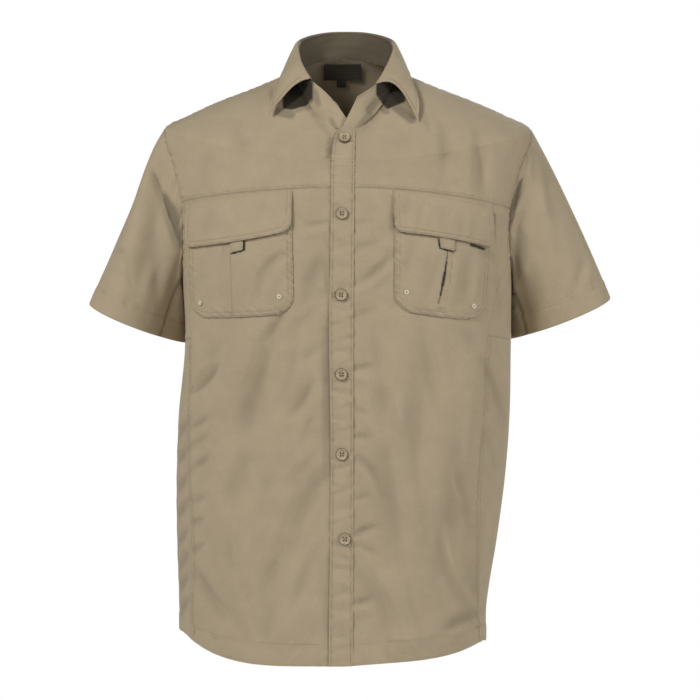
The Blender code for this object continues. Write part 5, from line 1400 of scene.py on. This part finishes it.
def patch_share(patch, x, z):
    """(across, down) of points, near enough for a patch whose edges are almost straight."""
    across, down = 0.5, 0.5
    for _ in range(4):
        left = patch.top_left[0] + (patch.low_left[0] - patch.top_left[0]) * down
        right = patch.top_right[0] + (patch.low_right[0] - patch.top_right[0]) * down
        across = (x - left) / (right - left)
        top, low = patch_point(patch, across, 0)[1], patch_point(patch, across, 1)[1]
        down = (z - top) / (low - top)
    return across, down


def pleat_edge(side, down):
    """The across-share of the pleat's edge."""
    pleat = PLEATS[side]
    return pleat.top + (pleat.foot - pleat.top) * down


def pocket_rise(side, x, z):
    """How far the pocket's cloth stands off the front's at points."""
    across, down = patch_share(POCKETS[side], x, z)
    across, down = np.clip(across, 0, 1), np.clip(down, 0, 1)
    crown = np.sin(math.pi * across) * np.sin(math.pi * down) ** POCKET_FULLNESS
    return POCKET_LIFT + POCKET_BULGE * crown


def corner_cut(patch, down, tall, width):
    """The across-share that a patch's rounded lower corners take off at each side."""
    from_foot = (1 - down) * tall
    reach = np.sqrt(np.maximum(patch.corner**2 - (patch.corner - from_foot) ** 2, 0))
    return np.where(from_foot < patch.corner, (patch.corner - reach) / width, 0.0)


def patch_size(patch):
    """A patch's width along its top and its height down its left side."""
    return math.dist(patch.top_left, patch.top_right), math.dist(patch.top_left, patch.low_left)


def patch_grid(patch, cell):
    """Across and down shares over a patch with rounded lower corners, and distances to its edge."""
    width, tall = patch_size(patch)
    radius = patch.corner
    straight = 1 - radius / tall
    downs = np.linspace(0, straight, max(int(tall * straight / cell), 3))
    turn = np.radians(np.linspace(0, 90, CORNER_ROWS))[1:]
    downs = np.concatenate([downs, straight + radius / tall * np.sin(turn)])
    cut = corner_cut(patch, downs, tall, width)
    count = max(int((width - PATCH_SIDES) / cell), 1)
    across = ticks((1 - 2 * cut) * width, count, PATCH_TICKS) / width + cut[:, None]
    down = np.broadcast_to(downs[:, None], across.shape)
    x, z = (across - 0.5) * width, (1 - down) * tall
    side_away = width / 2 - np.abs(x)
    corner_x, corner_z = radius - side_away, radius - z
    at_corner = (corner_x > 0) & (corner_z > 0)
    away = np.where(at_corner, radius - np.hypot(corner_x, corner_z), np.minimum(side_away, z))
    return across, down, np.maximum(away, 0)


def edge_relief(away, stitches, kind=PATCH_EDGE):
    """The relief of a turned edge with rows of stitches at distances from it."""
    relief = -kind.sink * (1 - ease(away / kind.reach))
    for distance in stitches:
        relief = relief - kind.pull * bell(away - distance, kind.wide)
    return relief


def on_front(x, z, lift):
    """Points of the fronts' cloth at x and z, lifted."""
    angle, level = spot(x, z)
    return body(angle, level, lift)


def pocket_piece(side, finish):
    """A pocket that stands a little off the front, its cloth stepped down at the pleat as if one part
    overlapped the other.
    """
    pleat = PLEATS[side]
    across, down, away = patch_grid(POCKETS[side], POCKET_CELL)
    x, z = patch_point(POCKETS[side], across, down)
    relief = edge_relief(away, PATCH_STITCHES)
    relief += puckers(away, x + 1.3 * z, 2.0, wave=0.013, height=0.0006, reach=0.012)
    bites = bell(away - PATCH_STITCHES[0], POCKET_BITE_REACH)
    relief += POCKET_BITE * np.sin(2 * math.pi * (x + z) / POCKET_BITE_WAVE) * bites
    past = (across - pleat_edge(side, down)) / pleat.ramp
    inside = (past >= 0) & (past <= 1)
    relief -= np.where(inside, pleat.step * (1 - past) * np.sin(math.pi * np.clip(down, 0, 1)), 0)
    for place in EYELETS[side]:
        relief = relief * (1 - np.exp(-(((x - place.x) ** 2 + (z - place.z) ** 2) / EYELET_CALM**2)))
    points = on_front(x, z, pocket_rise(side, x, z) + relief)
    points += weave_drift(points)
    shade = 1 - (1 - shade_of(x, z, SHADES["pocket"])) * (1 - contact_shade(x, z, side, ("flap", "tab")))
    shade += crease_shade(x, z, FRONT_CREASES)
    return shell(f"pocket_{side}", points, finish[0], shade=shade)


def flap_rise(side, x, z, down):
    """How far a flap's cloth stands off the front's: sewn down at its top, over the pocket below."""
    over_pocket = pocket_rise(side, x, z) + LAYER + FLAP_FLARE * down**2
    return LAYER + (over_pocket - LAYER) * ease(down / FLAP_RISE)


def flap_piece(side, finish):
    """A pocket flap with two rows of stitches round its edge."""
    across, down, away = patch_grid(FLAPS[side], FRONT_CELL)
    x, z = patch_point(FLAPS[side], across, down)
    relief = edge_relief(away, PATCH_STITCHES)
    relief += puckers(away, x - z, 1.0, wave=0.012, height=0.0005, reach=0.010)
    points = on_front(x, z, flap_rise(side, x, z, down) + relief)
    points += weave_drift(points)
    shade = crease_shade(x, z, FRONT_CREASES)
    return shell(f"pocket_flap_{side}", points, finish[0], thick=2 * SHELL, shade=shade)


def tab_piece(side, finish):
    """The small tab that shows under a flap."""
    across, down, away = patch_grid(TABS[side], TAB_CELL)
    x, z = patch_point(TABS[side], across, down)
    lift = pocket_rise(side, x, z) + LAYER + edge_relief(away, PATCH_STITCHES[:1], TAB_EDGE)
    shade = contact_shade(x, z, side, ("flap",))
    return shell(f"flap_tab_{side}", on_front(x, z, lift), finish[0], shade=shade)


# Labels, buttons and eyelets.


def label_piece(name, size, finish):
    """A bare woven label inside the back of the neck."""
    x = size["x"] + size["width"] * np.linspace(-0.5, 0.5, 19)[None, :]
    z = np.linspace(size["top"], size["low"], 11)[:, None]
    angle, level = back_spot(x, z)
    points = body(angle, level, -LABEL_DEEP)
    return shell(name, points, finish, LABEL_THICK / 2, LABEL_THICK)


def around(count):
    """The cosine and the sine of even steps round a circle."""
    turns = [2 * math.pi * i / count for i in range(count)]
    return [(math.cos(turn), math.sin(turn)) for turn in turns]


def lathe(profile, sides):
    """Points and faces of a turned solid, from the axis at its foot to the axis at its top."""
    points = [(0, 0, profile[0][1])]
    for radius, height in profile[1:-1]:
        points += [(radius * c, radius * s, height) for c, s in around(sides)]
    points.append((0, 0, profile[-1][1]))
    pairs = [(i, (i + 1) % sides) for i in range(sides)]
    faces = [(0, 1 + j, 1 + i) for i, j in pairs]
    for a in range(1, 1 + (len(profile) - 3) * sides, sides):
        faces += [(a + i, a + j, a + sides + j, a + sides + i) for i, j in pairs]
    last = 1 + (len(profile) - 3) * sides
    faces += [(last + i, last + j, len(points) - 1) for i, j in pairs]
    return points, faces


def placed_object(name, parts, finish, smooth_angle=35):
    """One mesh object of several parts, each given as its placement, its points and its faces."""
    points, faces = [], []
    for placement, part_points, part_faces in parts:
        first = len(points)
        points += [placement @ Vector(point) for point in part_points]
        faces += [tuple(first + i for i in face) for face in part_faces]
    return mesh_object(name, points, faces, finish, smooth_angle)


def apply_modifier(made):
    """Turns an object and its modifier into a plain mesh."""
    seen = made.evaluated_get(bpy.context.evaluated_depsgraph_get())
    plain = bpy.data.meshes.new_from_object(seen)
    made.modifiers.clear()
    made.data = plain


def front_frame(place, lift):
    """A placement on the front's cloth, lifted off it, with its Z outwards and its Y as near upright as
    that allows."""
    angle, level = spot(place.x, place.z)
    z_axis = Vector(body_normal(angle, level)).normalized()
    x_axis = Vector((0, 0, 1)).cross(z_axis).normalized()
    turn = Matrix((x_axis, z_axis.cross(x_axis), z_axis)).transposed().to_4x4()
    return Matrix.Translation(Vector(body(angle, level, lift))) @ turn


def button_piece(number, place, finish):
    """A four-hole button: a rounded rim, a dished middle and holes right through."""
    profile = [(BUTTON_RADIUS * wide, BUTTON_THICK * high) for wide, high in BUTTON_PROFILE]
    made = mesh_object(f"button_{number}_moulded", *lathe(profile, 40), finish)
    for i in range(4):
        a = math.radians(45 + 90 * i)
        cutter = mesh_object("hole", *lathe(HOLE_PROFILE, 12), finish)
        cutter.data.transform(Matrix.Translation((HOLE_REACH * math.cos(a), HOLE_REACH * math.sin(a), 0)))
        cut = made.modifiers.new("hole", "BOOLEAN")
        cut.object, cut.solver = cutter, "EXACT"
        apply_modifier(made)
        bpy.data.objects.remove(cutter)
    made.data.transform(button_frame(place))
    return made


def button_frame(place):
    """Where a button lies: on the band, a little off it."""
    return front_frame(place, OUTER_FACE + LAYER + BUTTON_OFF)


def thread_bar(turn):
    """Points and faces of thread across a button, turned round its middle, that dips into two holes."""
    c, s = math.cos(math.radians(turn)), math.sin(math.radians(turn))
    points, faces = [], []
    for end, high in THREAD_PATH:
        reach = HOLE_REACH * end
        for wide, tall in around(6):
            side, up = THREAD_HALF_WIDE * wide, THREAD_HALF_TALL * tall
            points.append((reach * c - side * s, reach * s + side * c, BUTTON_THICK * high + up))
    for a in (0, 6, 12):
        faces += [(a + j, a + j + 6, a + (j + 1) % 6 + 6, a + (j + 1) % 6) for j in range(6)]
    return points, faces + [tuple(range(6)), tuple(range(23, 17, -1))]


def button_threads(finish):
    """The sewing thread across each button's holes."""
    parts = [(button_frame(place), *thread_bar(turn)) for place in BUTTONS for turn in (45, 135)]
    return placed_object("button_threads", parts, finish)


def eyelet_frames(lift):
    """Where the eyelets lie on their pockets, lifted off the cloth."""
    frames = []
    for side, places in EYELETS.items():
        for place in places:
            rise = float(pocket_rise(side, place.x, place.z)) + OUTER_FACE
            frames.append(front_frame(place, rise + lift))
    return frames


def eyelets_piece(finish):
    """Small rolled metal eyelets on the pockets' lower corners."""
    sides, section = 32, 12
    points, faces = [], []
    for c, s in around(sides):
        for out, up in around(section):
            reach = EYELET_RADIUS - EYELET_LIP + EYELET_LIP * out
            points.append((reach * c, reach * s, EYELET_RISE * up))
    for i in range(sides):
        here, ahead = i * section, (i + 1) % sides * section
        for j in range(section):
            k = (j + 1) % section
            faces.append((here + j, ahead + j, ahead + k, here + k))
    return placed_object("eyelets", [(at, points, faces) for at in eyelet_frames(EYELET_LIFT)], finish, 60)


def eyelet_holes(finish):
    """Discs of painted shade in the eyelets' middles, where their holes are."""
    disc = lathe([(0, 0), (EYELET_HOLE, 0), (EYELET_HOLE, EYELET_DISC), (0, EYELET_DISC)], 20)
    return placed_object("eyelet_holes", [(at, *disc) for at in eyelet_frames(EYELET_LIFT / 2)], finish)


# Stitches.


def angle_step(angle, level, distance):
    """The turn that moves a point of the body by a distance to the viewer's right."""
    rate = np.linalg.norm(bare_body(angle + 0.5, level) - bare_body(angle - 0.5, level), axis=-1)
    return distance / rate


def body_line(angle, level, lift):
    """A stitch line on the body: points and their outward sides."""
    return body(angle, level, lift), body_normal(angle, level)


def front_line(x, z, lift):
    """A stitch line on the fronts, given by x and z."""
    return body_line(*spot(x, z), lift)


def patch_outline(patch, inset_by, step=0.003):
    """x and z along a patch's sides and foot, a distance in from its edge, and its down-shares."""
    width, tall = patch_size(patch)
    radius = max(patch.corner - inset_by, 0.0005)
    centre = patch.corner if patch.corner > inset_by else inset_by + radius
    line = [(inset_by, tall)]
    for middle, first in ((centre, 180), (width - centre, 270)):
        for a in np.radians(np.linspace(first, first + 90, 10)):
            line.append((middle + radius * math.cos(a), centre + radius * math.sin(a)))
    line.append((width - inset_by, tall))
    line = np.array(line)
    at = run_along(line, 0)
    even = np.linspace(0, at[-1], max(int(at[-1] / step), 8))
    across = np.interp(even, at, line[:, 0]) / width
    down = 1 - np.interp(even, at, line[:, 1]) / tall
    x, z = patch_point(patch, across, down)
    return x, z, down


def side_stitches(side):
    """A side's rows of stitches: its side seams, its chest seam, its armhole and its cuff."""
    lines = []
    sign = side_sign(side)
    levels = level_at(np.linspace(VENT_ROW, LAST_ROW, 200))
    for face, inward in (("front", sign), ("back", -sign)):
        seam = sign * panel_end(np.linspace(VENT_ROW, LAST_ROW, 200), side, face)
        for away in SEAM_STITCHES:
            shifted = seam + inward * angle_step(seam, levels, away)
            lines.append(body_line(shifted, levels, ON_SEAM))
    chest_end = sign * (panel_end(CHEST_ROW, side, "front") - 1.0)
    chest = np.linspace(BAND_EDGE_ANGLES[side], chest_end, 90)
    for away in SEAM_STITCHES:
        lines.append(body_line(chest, level_at(CHEST_ROW) - away, ON_SEAM))
    for way in (1, -1):
        angle, level = arm_point(way * np.linspace(0.4, SIDE_SEAM_STEP + 2.5, 120), side)
        middle = (ARM_TOP + ARM_LOW) / 2
        out = unit(np.stack([(angle - sign * ARM_ANGLE) * METRES_A_DEGREE, level - middle], axis=-1))
        for away in ARM_STITCHES:
            turn = angle + out[:, 0] * away / METRES_A_DEGREE
            lines.append(body_line(turn, level + out[:, 1] * away, ON_ARMHOLE))
    turns = np.arange(0, 360.1, 2.0)
    along = 1 - SLEEVE_HEM / sleeve_lengths(np.arange(0.0, 360.0, 8), side).mean()
    lines.append((sleeve(turns, along, side, ON_CUFF), sleeve_normal(turns, along, side)))
    return lines


def patch_stitches(side):
    """The rows of stitches on a side's pocket, flap and tab."""
    lines = []
    for away in PATCH_STITCHES:
        x, z, _ = patch_outline(POCKETS[side], away)
        lines.append(front_line(x, z, pocket_rise(side, x, z) + ON_CLOTH))
    for away in PATCH_STITCHES:
        x, z, down = patch_outline(FLAPS[side], away)
        lines.append(front_line(x, z, flap_rise(side, x, z, np.clip(down, 0, 1)) + ON_CLOTH))
    x, z, _ = patch_outline(TABS[side], PATCH_STITCHES[0])
    lines.append(front_line(x, z, pocket_rise(side, x, z) + LAYER + ON_CLOTH))
    return lines


def stitch_lines():
    """Every row of stitches as (points, outward sides)."""
    lines = side_stitches("left") + side_stitches("right")
    start, end = panel_end(YOKE_ROW, "right", "back"), 360 - panel_end(YOKE_ROW, "left", "back")
    for away in SEAM_STITCHES:
        lines.append(body_line(np.linspace(start + 1, end - 1, 180), level_at(YOKE_ROW) - away, ON_SEAM))
    hem = np.linspace(BAND_EDGE_ANGLES["right"] + 0.5, 359.5 + BAND_EDGE_ANGLES["left"], 420)
    lines.append(body_line(hem, HEM_LEVEL - BODY_HEM, ON_CLOTH))
    levels = level_at(fine_rows(0, LAST_ROW, 0.006)[2:])
    for edge, away in zip(band_edges(levels), (BAND_STITCH, -BAND_STITCH)):
        lines.append(body_line(angle_for_x(edge + away, levels), levels, ON_BAND))
    lines += patch_stitches("left") + patch_stitches("right")
    lines.append(collar_stitches())
    right_end, left_end = edge_angles()
    for start, end in ((right_end + 0.5, STAND_STITCHED[0]), (STAND_STITCHED[1], 359.5 + left_end)):
        foot, top, normal = stand_frame(np.linspace(start, end, 60))
        lines.append((top + unit(foot - top) * STAND_STITCH + normal * ON_STAND, normal))
    return lines


def collar_stitches():
    """The row of stitches round the collar leaf's edge."""
    angles, shares = np.linspace(*leaf_ends(), 260), np.linspace(0, 1, 60)
    points = leaf_sections(angles, shares)[ROLL_ROWS:]
    normal = grid_normals(points)
    points = points + normal * ON_LEAF
    down = np.linalg.norm(points[-1] - points[0], axis=-1)
    row_in = np.clip((1 - COLLAR_STITCH / down) * (len(points) - 1), 0, len(points) - 1)
    across = run_along(points[-1], 0)
    start = int(np.searchsorted(across, COLLAR_STITCH))
    end = int(np.searchsorted(across, across[-1] - COLLAR_STITCH))
    path = [(row, start) for row in range(LEAF_STITCH_ROW, int(row_in[start]))]
    path += [(int(round(row_in[c])), c) for c in range(start, end)]
    path += [(row, end) for row in range(int(row_in[end]), LEAF_STITCH_ROW - 1, -1)]
    rows, columns = np.array(path).T
    return points[rows, columns], normal[rows, columns]


def add_node(tree, kind, values=(), **links):
    """Adds a node with its settings, and links its inputs. A key of values is a setting's name, or an
    input's number or name; a link is from an output."""
    made = tree.nodes.new(kind)
    for key, value in dict(values).items():
        if isinstance(key, str) and hasattr(made, key) and key not in made.inputs:
            setattr(made, key, value)
        else:
            made.inputs[key].default_value = value
    for key, source in links.items():
        number = key[1:]
        tree.links.new(source, made.inputs[int(number) if number.isdigit() else key.replace("_", " ")])
    return made


def stitch_tree(thread):
    """A node tree that lays stitches along lines: each point's "up" is its outward side."""
    tree = bpy.data.node_groups.new("stitches_along_lines", "GeometryNodeTree")
    face = tree.interface
    face.new_socket(name="Lines", in_out="INPUT", socket_type="NodeSocketGeometry")
    for name, size in STITCH_SIZES.items():
        socket = face.new_socket(name=name, in_out="INPUT", socket_type="NodeSocketFloat")
        socket.default_value = size
    face.new_socket(name="Stitches", in_out="OUTPUT", socket_type="NodeSocketGeometry")
    given = tree.nodes.new("NodeGroupInput").outputs
    curve = add_node(tree, "GeometryNodeMeshToCurve", _0=given["Lines"])
    by_length = {"mode": "LENGTH"}
    spaced = add_node(
        tree, "GeometryNodeResampleCurve", by_length, Curve=curve.outputs[0], Length=given["Pitch"]
    )
    up = add_node(tree, "GeometryNodeInputNamedAttribute", {"data_type": "FLOAT_VECTOR", "Name": "up"})
    tangent = add_node(tree, "GeometryNodeInputTangent")
    first = add_node(tree, "FunctionNodeAlignRotationToVector", {"axis": "X"}, Vector=tangent.outputs[0])
    turned = add_node(
        tree,
        "FunctionNodeAlignRotationToVector",
        {"axis": "Z", "pivot_axis": "X"},
        Rotation=first.outputs[0],
        Vector=up.outputs["Attribute"],
    )
    one = add_node(tree, "GeometryNodeMeshIcoSphere", {"Radius": 0.5, "Subdivisions": 1})
    size = add_node(tree, "ShaderNodeCombineXYZ", (), X=given["Length"], Y=given["Width"], Z=given["Width"])
    laid = add_node(
        tree,
        "GeometryNodeInstanceOnPoints",
        Points=spaced.outputs[0],
        Instance=one.outputs["Mesh"],
        Rotation=turned.outputs[0],
        Scale=size.outputs[0],
    )
    real = add_node(tree, "GeometryNodeRealizeInstances", Geometry=laid.outputs[0])
    smooth = add_node(tree, "GeometryNodeSetShadeSmooth", Geometry=real.outputs[0])
    painted = add_node(tree, "GeometryNodeSetMaterial", {"Material": thread}, Geometry=smooth.outputs[0])
    out = tree.nodes.new("NodeGroupOutput")
    tree.links.new(painted.outputs[0], out.inputs[0])
    return tree


def stitches_piece(thread):
    """All the rows of stitches, laid by geometry nodes and turned into one plain mesh."""
    points, ups, edges = [], [], []
    for line, up in stitch_lines():
        first = len(points)
        points += line.tolist()
        ups += up.tolist()
        edges += [(i, i + 1) for i in range(first, len(points) - 1)]
    mesh = bpy.data.meshes.new("stitch_lines")
    mesh.from_pydata(points, edges, [])
    layer = mesh.attributes.new("up", "FLOAT_VECTOR", "POINT")
    layer.data.foreach_set("vector", np.array(ups, np.float32).ravel())
    made = linked("stitches", mesh)
    made.modifiers.new("laying", "NODES").node_group = stitch_tree(thread)
    apply_modifier(made)
    return made


# Finishes.


def linear(hex_colour):
    """A colour as Blender wants it, from sRGB hex."""
    values = [int(hex_colour[i : i + 2], 16) / 255 for i in (1, 3, 5)]
    return tuple(v / 12.92 if v <= 0.04045 else ((v + 0.055) / 1.055) ** 2.4 for v in values) + (1.0,)


def new_material(name, **values):
    """A material with a Principled shader and its fixed values."""
    made = bpy.data.materials.new(name)
    made.use_nodes = True
    shader = made.node_tree.nodes["Principled BSDF"]
    for key, value in values.items():
        shader.inputs[key.replace("_", " ")].default_value = value
    return made, made.node_tree, shader


def cotton_nylon(name, light, dark):
    """Plain-woven cotton and nylon shirting: matt, with a faint sheen and slightly uneven dye. The weave is
    drawn coarser than its real 0.4 mm threads, so that it shows. Hollows take the cloth's deep shade."""
    made, tree, shader = new_material(name, Roughness=0.80, Sheen_Weight=0.10, Sheen_Roughness=0.45)
    shader.inputs["Specular IOR Level"].default_value = 0.2
    cloth = add_node(tree, "ShaderNodeUVMap", {"uv_map": "cloth"}).outputs[0]
    place = add_node(tree, "ShaderNodeTexCoord").outputs["Object"]
    # Patches of dye about 26 mm wide, and thicker spots of thread about 2 mm long.
    dye = {"Scale": 38.0, "Detail": 3.0, "Roughness": 0.6}
    patches = add_node(tree, "ShaderNodeTexNoise", dye, Vector=place)
    slub = {"Scale": 520.0, "Detail": 2.0, "Roughness": 0.7}
    slubs = add_node(tree, "ShaderNodeTexNoise", slub, Vector=place)
    # At scale 1 a wave texture turns 20 radians a metre, so this gives one wave a thread.
    bands = {"Scale": 2 * math.pi / (20 * WEAVE_MM / 1000), "Distortion": 0.6, "Detail": 1.0}
    weft = add_node(tree, "ShaderNodeTexWave", {"bands_direction": "Y", **bands}, Vector=cloth)
    warp = add_node(tree, "ShaderNodeTexWave", {"bands_direction": "X", **bands}, Vector=cloth)
    add = {"operation": "ADD"}
    woven = add_node(tree, "ShaderNodeMath", add, _0=weft.outputs[1], _1=warp.outputs[1])
    mottle = add_node(tree, "ShaderNodeMath", add, _0=patches.outputs[0], _1=slubs.outputs[0])
    amount = add_node(tree, "ShaderNodeMapRange", {1: 0.7, 2: 1.3}, _0=mottle.outputs[0])
    tones = {"data_type": "RGBA", 6: linear(dark), 7: linear(light)}
    colour = add_node(tree, "ShaderNodeMix", tones, _0=amount.outputs[0])
    high = {"Strength": 0.5, "Distance": WEAVE_BUMP_MM / 1000}
    bump = add_node(tree, "ShaderNodeBump", high, Height=woven.outputs[0])
    rough = {"Strength": 0.6, "Distance": SLUB_BUMP_MM / 1000}
    grain = add_node(tree, "ShaderNodeBump", rough, Height=slubs.outputs[0], Normal=bump.outputs[0])
    hollow = add_node(tree, "ShaderNodeAttribute", {"attribute_name": "shade"})
    deep = {"data_type": "RGBA", 7: linear(DEEP_SHADE)}
    shaded = add_node(tree, "ShaderNodeMix", deep, _0=hollow.outputs["Fac"], _6=colour.outputs[2])
    tree.links.new(shaded.outputs[2], shader.inputs["Base Color"])
    tree.links.new(grain.outputs[0], shader.inputs["Normal"])
    return made


def speckled(name, dark, light, grain, wear=None, **values):
    """A material in two tones that run into each other by a noise, whose settings are grain. wear is the
    lowest and highest roughness and the settings of the noise that it follows."""
    made, tree, shader = new_material(name, **values)
    place = add_node(tree, "ShaderNodeTexCoord").outputs["Object"]
    specks = add_node(tree, "ShaderNodeTexNoise", grain, Vector=place)
    tones = {"data_type": "RGBA", 6: linear(dark), 7: linear(light)}
    colour = add_node(tree, "ShaderNodeMix", tones, _0=specks.outputs[0])
    tree.links.new(colour.outputs[2], shader.inputs["Base Color"])
    if wear:
        marks = add_node(tree, "ShaderNodeTexNoise", wear[2], Vector=place)
        rough = add_node(tree, "ShaderNodeMapRange", {3: wear[0], 4: wear[1]}, _0=marks.outputs[0])
        tree.links.new(rough.outputs[0], shader.inputs["Roughness"])
    return made


def polyester_thread():
    """Polyester sewing thread in the cloth's colour, a little glossier than the cloth, its ply about 1 mm."""
    ply = {"Scale": 900.0, "Detail": 1.0}
    return speckled("polyester_thread", "#80725b", "#a39479", ply, Roughness=0.6, Sheen_Weight=0.1)


def moulded_polyester():
    """Moulded polyester buttons in brown, with a horn-like cloudiness about 5 mm wide, a soft gloss and
    scuffs of about 1.5 mm."""
    clouds = {"Scale": 210.0, "Detail": 4.0, "Roughness": 0.6}
    scuffs = (0.28, 0.46, {"Scale": 700.0, "Detail": 2.0})
    return speckled("moulded_polyester", "#8a795d", "#cbba98", clouds, scuffs, Roughness=0.34, IOR=1.55)


def pale_brass_painted_highlight():
    """Rolled brass eyelets, matt, in a pale tone that is a painted highlight in place of the metal's shine,
    with marks of about 0.6 mm.
    """
    marks = {"Scale": 1600.0, "Detail": 2.0}
    wear = (0.22, 0.40, marks)
    return speckled("pale_brass_painted_highlight", "#cbc1a6", "#ddd3ba", marks, wear, Metallic=0.0, Roughness=0.30)


def damask_label():
    """A dark woven polyester label: smooth, with ribs across about 5 mm apart and a slight satin gloss."""
    made, tree, shader = new_material("damask_label", Roughness=0.62, Sheen_Weight=0.1)
    cloth = add_node(tree, "ShaderNodeUVMap", {"uv_map": "cloth"})
    bands = {"bands_direction": "Y", "Scale": 60.0, "Distortion": 0.3}
    ribs = add_node(tree, "ShaderNodeTexWave", bands, Vector=cloth.outputs[0])
    tones = {"data_type": "RGBA", 6: linear("#3d372b"), 7: linear("#474033")}
    colour = add_node(tree, "ShaderNodeMix", tones, _0=ribs.outputs[1])
    bump = add_node(tree, "ShaderNodeBump", {"Strength": 0.4, "Distance": 0.0002}, Height=ribs.outputs[1])
    tree.links.new(colour.outputs[2], shader.inputs["Base Color"])
    tree.links.new(bump.outputs[0], shader.inputs["Normal"])
    return made


def painted_shade_in_eyelets():
    """Painted shade for the cloth seen through an eyelet: near black, with specks of about 1 mm."""
    return speckled("dark_cloth", "#1d1812", "#2c251b", {"Scale": 900.0}, Roughness=0.9)


# The stage.


def area_light(name, place, size, watts):
    """A soft square light that looks at the shirt's middle."""
    light = bpy.data.lights.new(name, "AREA")
    light.shape, light.size, light.energy = "SQUARE", size, watts
    turn = (Vector(place) - Vector(LIGHT_AIM)).to_track_quat("Z", "Y").to_matrix().to_4x4()
    linked(name, light).matrix_world = Matrix.Translation(place) @ turn


def matt_paper():
    """A studio's paper floor, with a pale unevenness about 17 mm wide."""
    return speckled("matt_paper", "#efeeec", "#f8f7f5", {"Scale": 60.0, "Detail": 3.0}, Roughness=0.9)


def studio_world():
    """A white studio wall all round at the camera's height, and a dimmer room above and below it."""
    world = bpy.data.worlds.new("studio")
    world.use_nodes = True
    tree = world.node_tree
    background = tree.nodes["Background"]
    background.inputs["Color"].default_value = linear("#ffffff")
    way = add_node(tree, "ShaderNodeTexCoord")
    parts = add_node(tree, "ShaderNodeSeparateXYZ", _0=way.outputs["Generated"])
    steep = add_node(tree, "ShaderNodeMath", {"operation": "ABSOLUTE"}, _0=parts.outputs["Z"])
    values = {1: WALL_TO, 2: ROOM_FROM, 3: WALL_GLOW, 4: ROOM_GLOW}
    glow = add_node(tree, "ShaderNodeMapRange", values, _0=steep.outputs[0])
    tree.links.new(glow.outputs[0], background.inputs["Strength"])
    return world


def make_stage():
    """A plain pale floor at the wearer's feet, soft studio light and the photograph's camera."""
    scene = bpy.context.scene
    scene.world = studio_world()
    scene.view_settings.view_transform = "Standard"
    rim = [(FLOOR_REACH * c, FLOOR_REACH * s, FLOOR_Z) for c, s in around(96)]
    mesh_object("floor", rim, [tuple(range(96))], matt_paper())
    for name, place, size, watts in LIGHTS:
        area_light(name, place, size, watts)
    lens = bpy.data.cameras.new("camera")
    lens.sensor_width, lens.lens = 36.0, LENS_MM
    camera = linked("camera", lens)
    camera.location = CAMERA_AT
    camera.rotation_euler = (math.radians(90), 0, 0)
    scene.camera = camera


# The pieces.

# Each cloth piece's cut: the rectangle it comes from, its own share of that, and how it is held.
Cut = namedtuple("Cut", "width length share held")


def declare(piece, node):
    """A piece rides on the shirt's one body, in its solid's place, and hides that solid."""
    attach(piece, "root")
    if node:
        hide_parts(node)


def main():
    """Builds the shirt on its frame, and the stage."""
    make_stage()
    poplin = cotton_nylon("cotton_nylon_poplin", "#b1a186", "#a8987d")
    # The same cloth's inner face, its darker tone a little darker as painted shade for the inside of the
    # neck.
    cloth = (poplin, cotton_nylon("cotton_nylon_poplin_inside_painted_shade", "#b1a186", "#a39479"))
    thread = polyester_thread()
    cloth_pieces = []
    for side in ("left", "right"):
        cloth_pieces += [
            front_panel(side, "upper", cloth),
            front_panel(side, "lower", cloth),
            side_piece(side, "side_vent", cloth),
            side_piece(side, "side_panel", cloth),
            sleeve_piece(side, cloth),
            pocket_piece(side, cloth),
            flap_piece(side, cloth),
            tab_piece(side, cloth),
        ]
    yoke_edges = {"start": "under", "end": "under", "top": "under", "low": "over"}
    back_edges = {**yoke_edges, "low": "hem"}
    cloth_pieces += [
        back_piece("back_yoke", 0, YOKE_ROW, yoke_edges, cloth),
        back_piece("back_panel", YOKE_ROW, LAST_ROW, back_edges, cloth),
        stand_piece(cloth),
        leaf_piece(cloth),
        band_piece(cloth),
    ]
    for piece in cloth_pieces:
        declare(piece, piece.name.removesuffix("_cloth"))
    label = damask_label()
    for name, size in (("neck_label", LABEL), ("size_tab", SIZE_TAB)):
        declare(label_piece(name, size, label), name)
    plastic = moulded_polyester()
    for number, place in enumerate(BUTTONS, 1):
        declare(button_piece(number, place, plastic), f"button_{number}")
    declare(button_threads(thread), None)
    declare(eyelets_piece(pale_brass_painted_highlight()), None)
    declare(eyelet_holes(painted_shade_in_eyelets()), None)
    declare(stitches_piece(thread), None)


main()
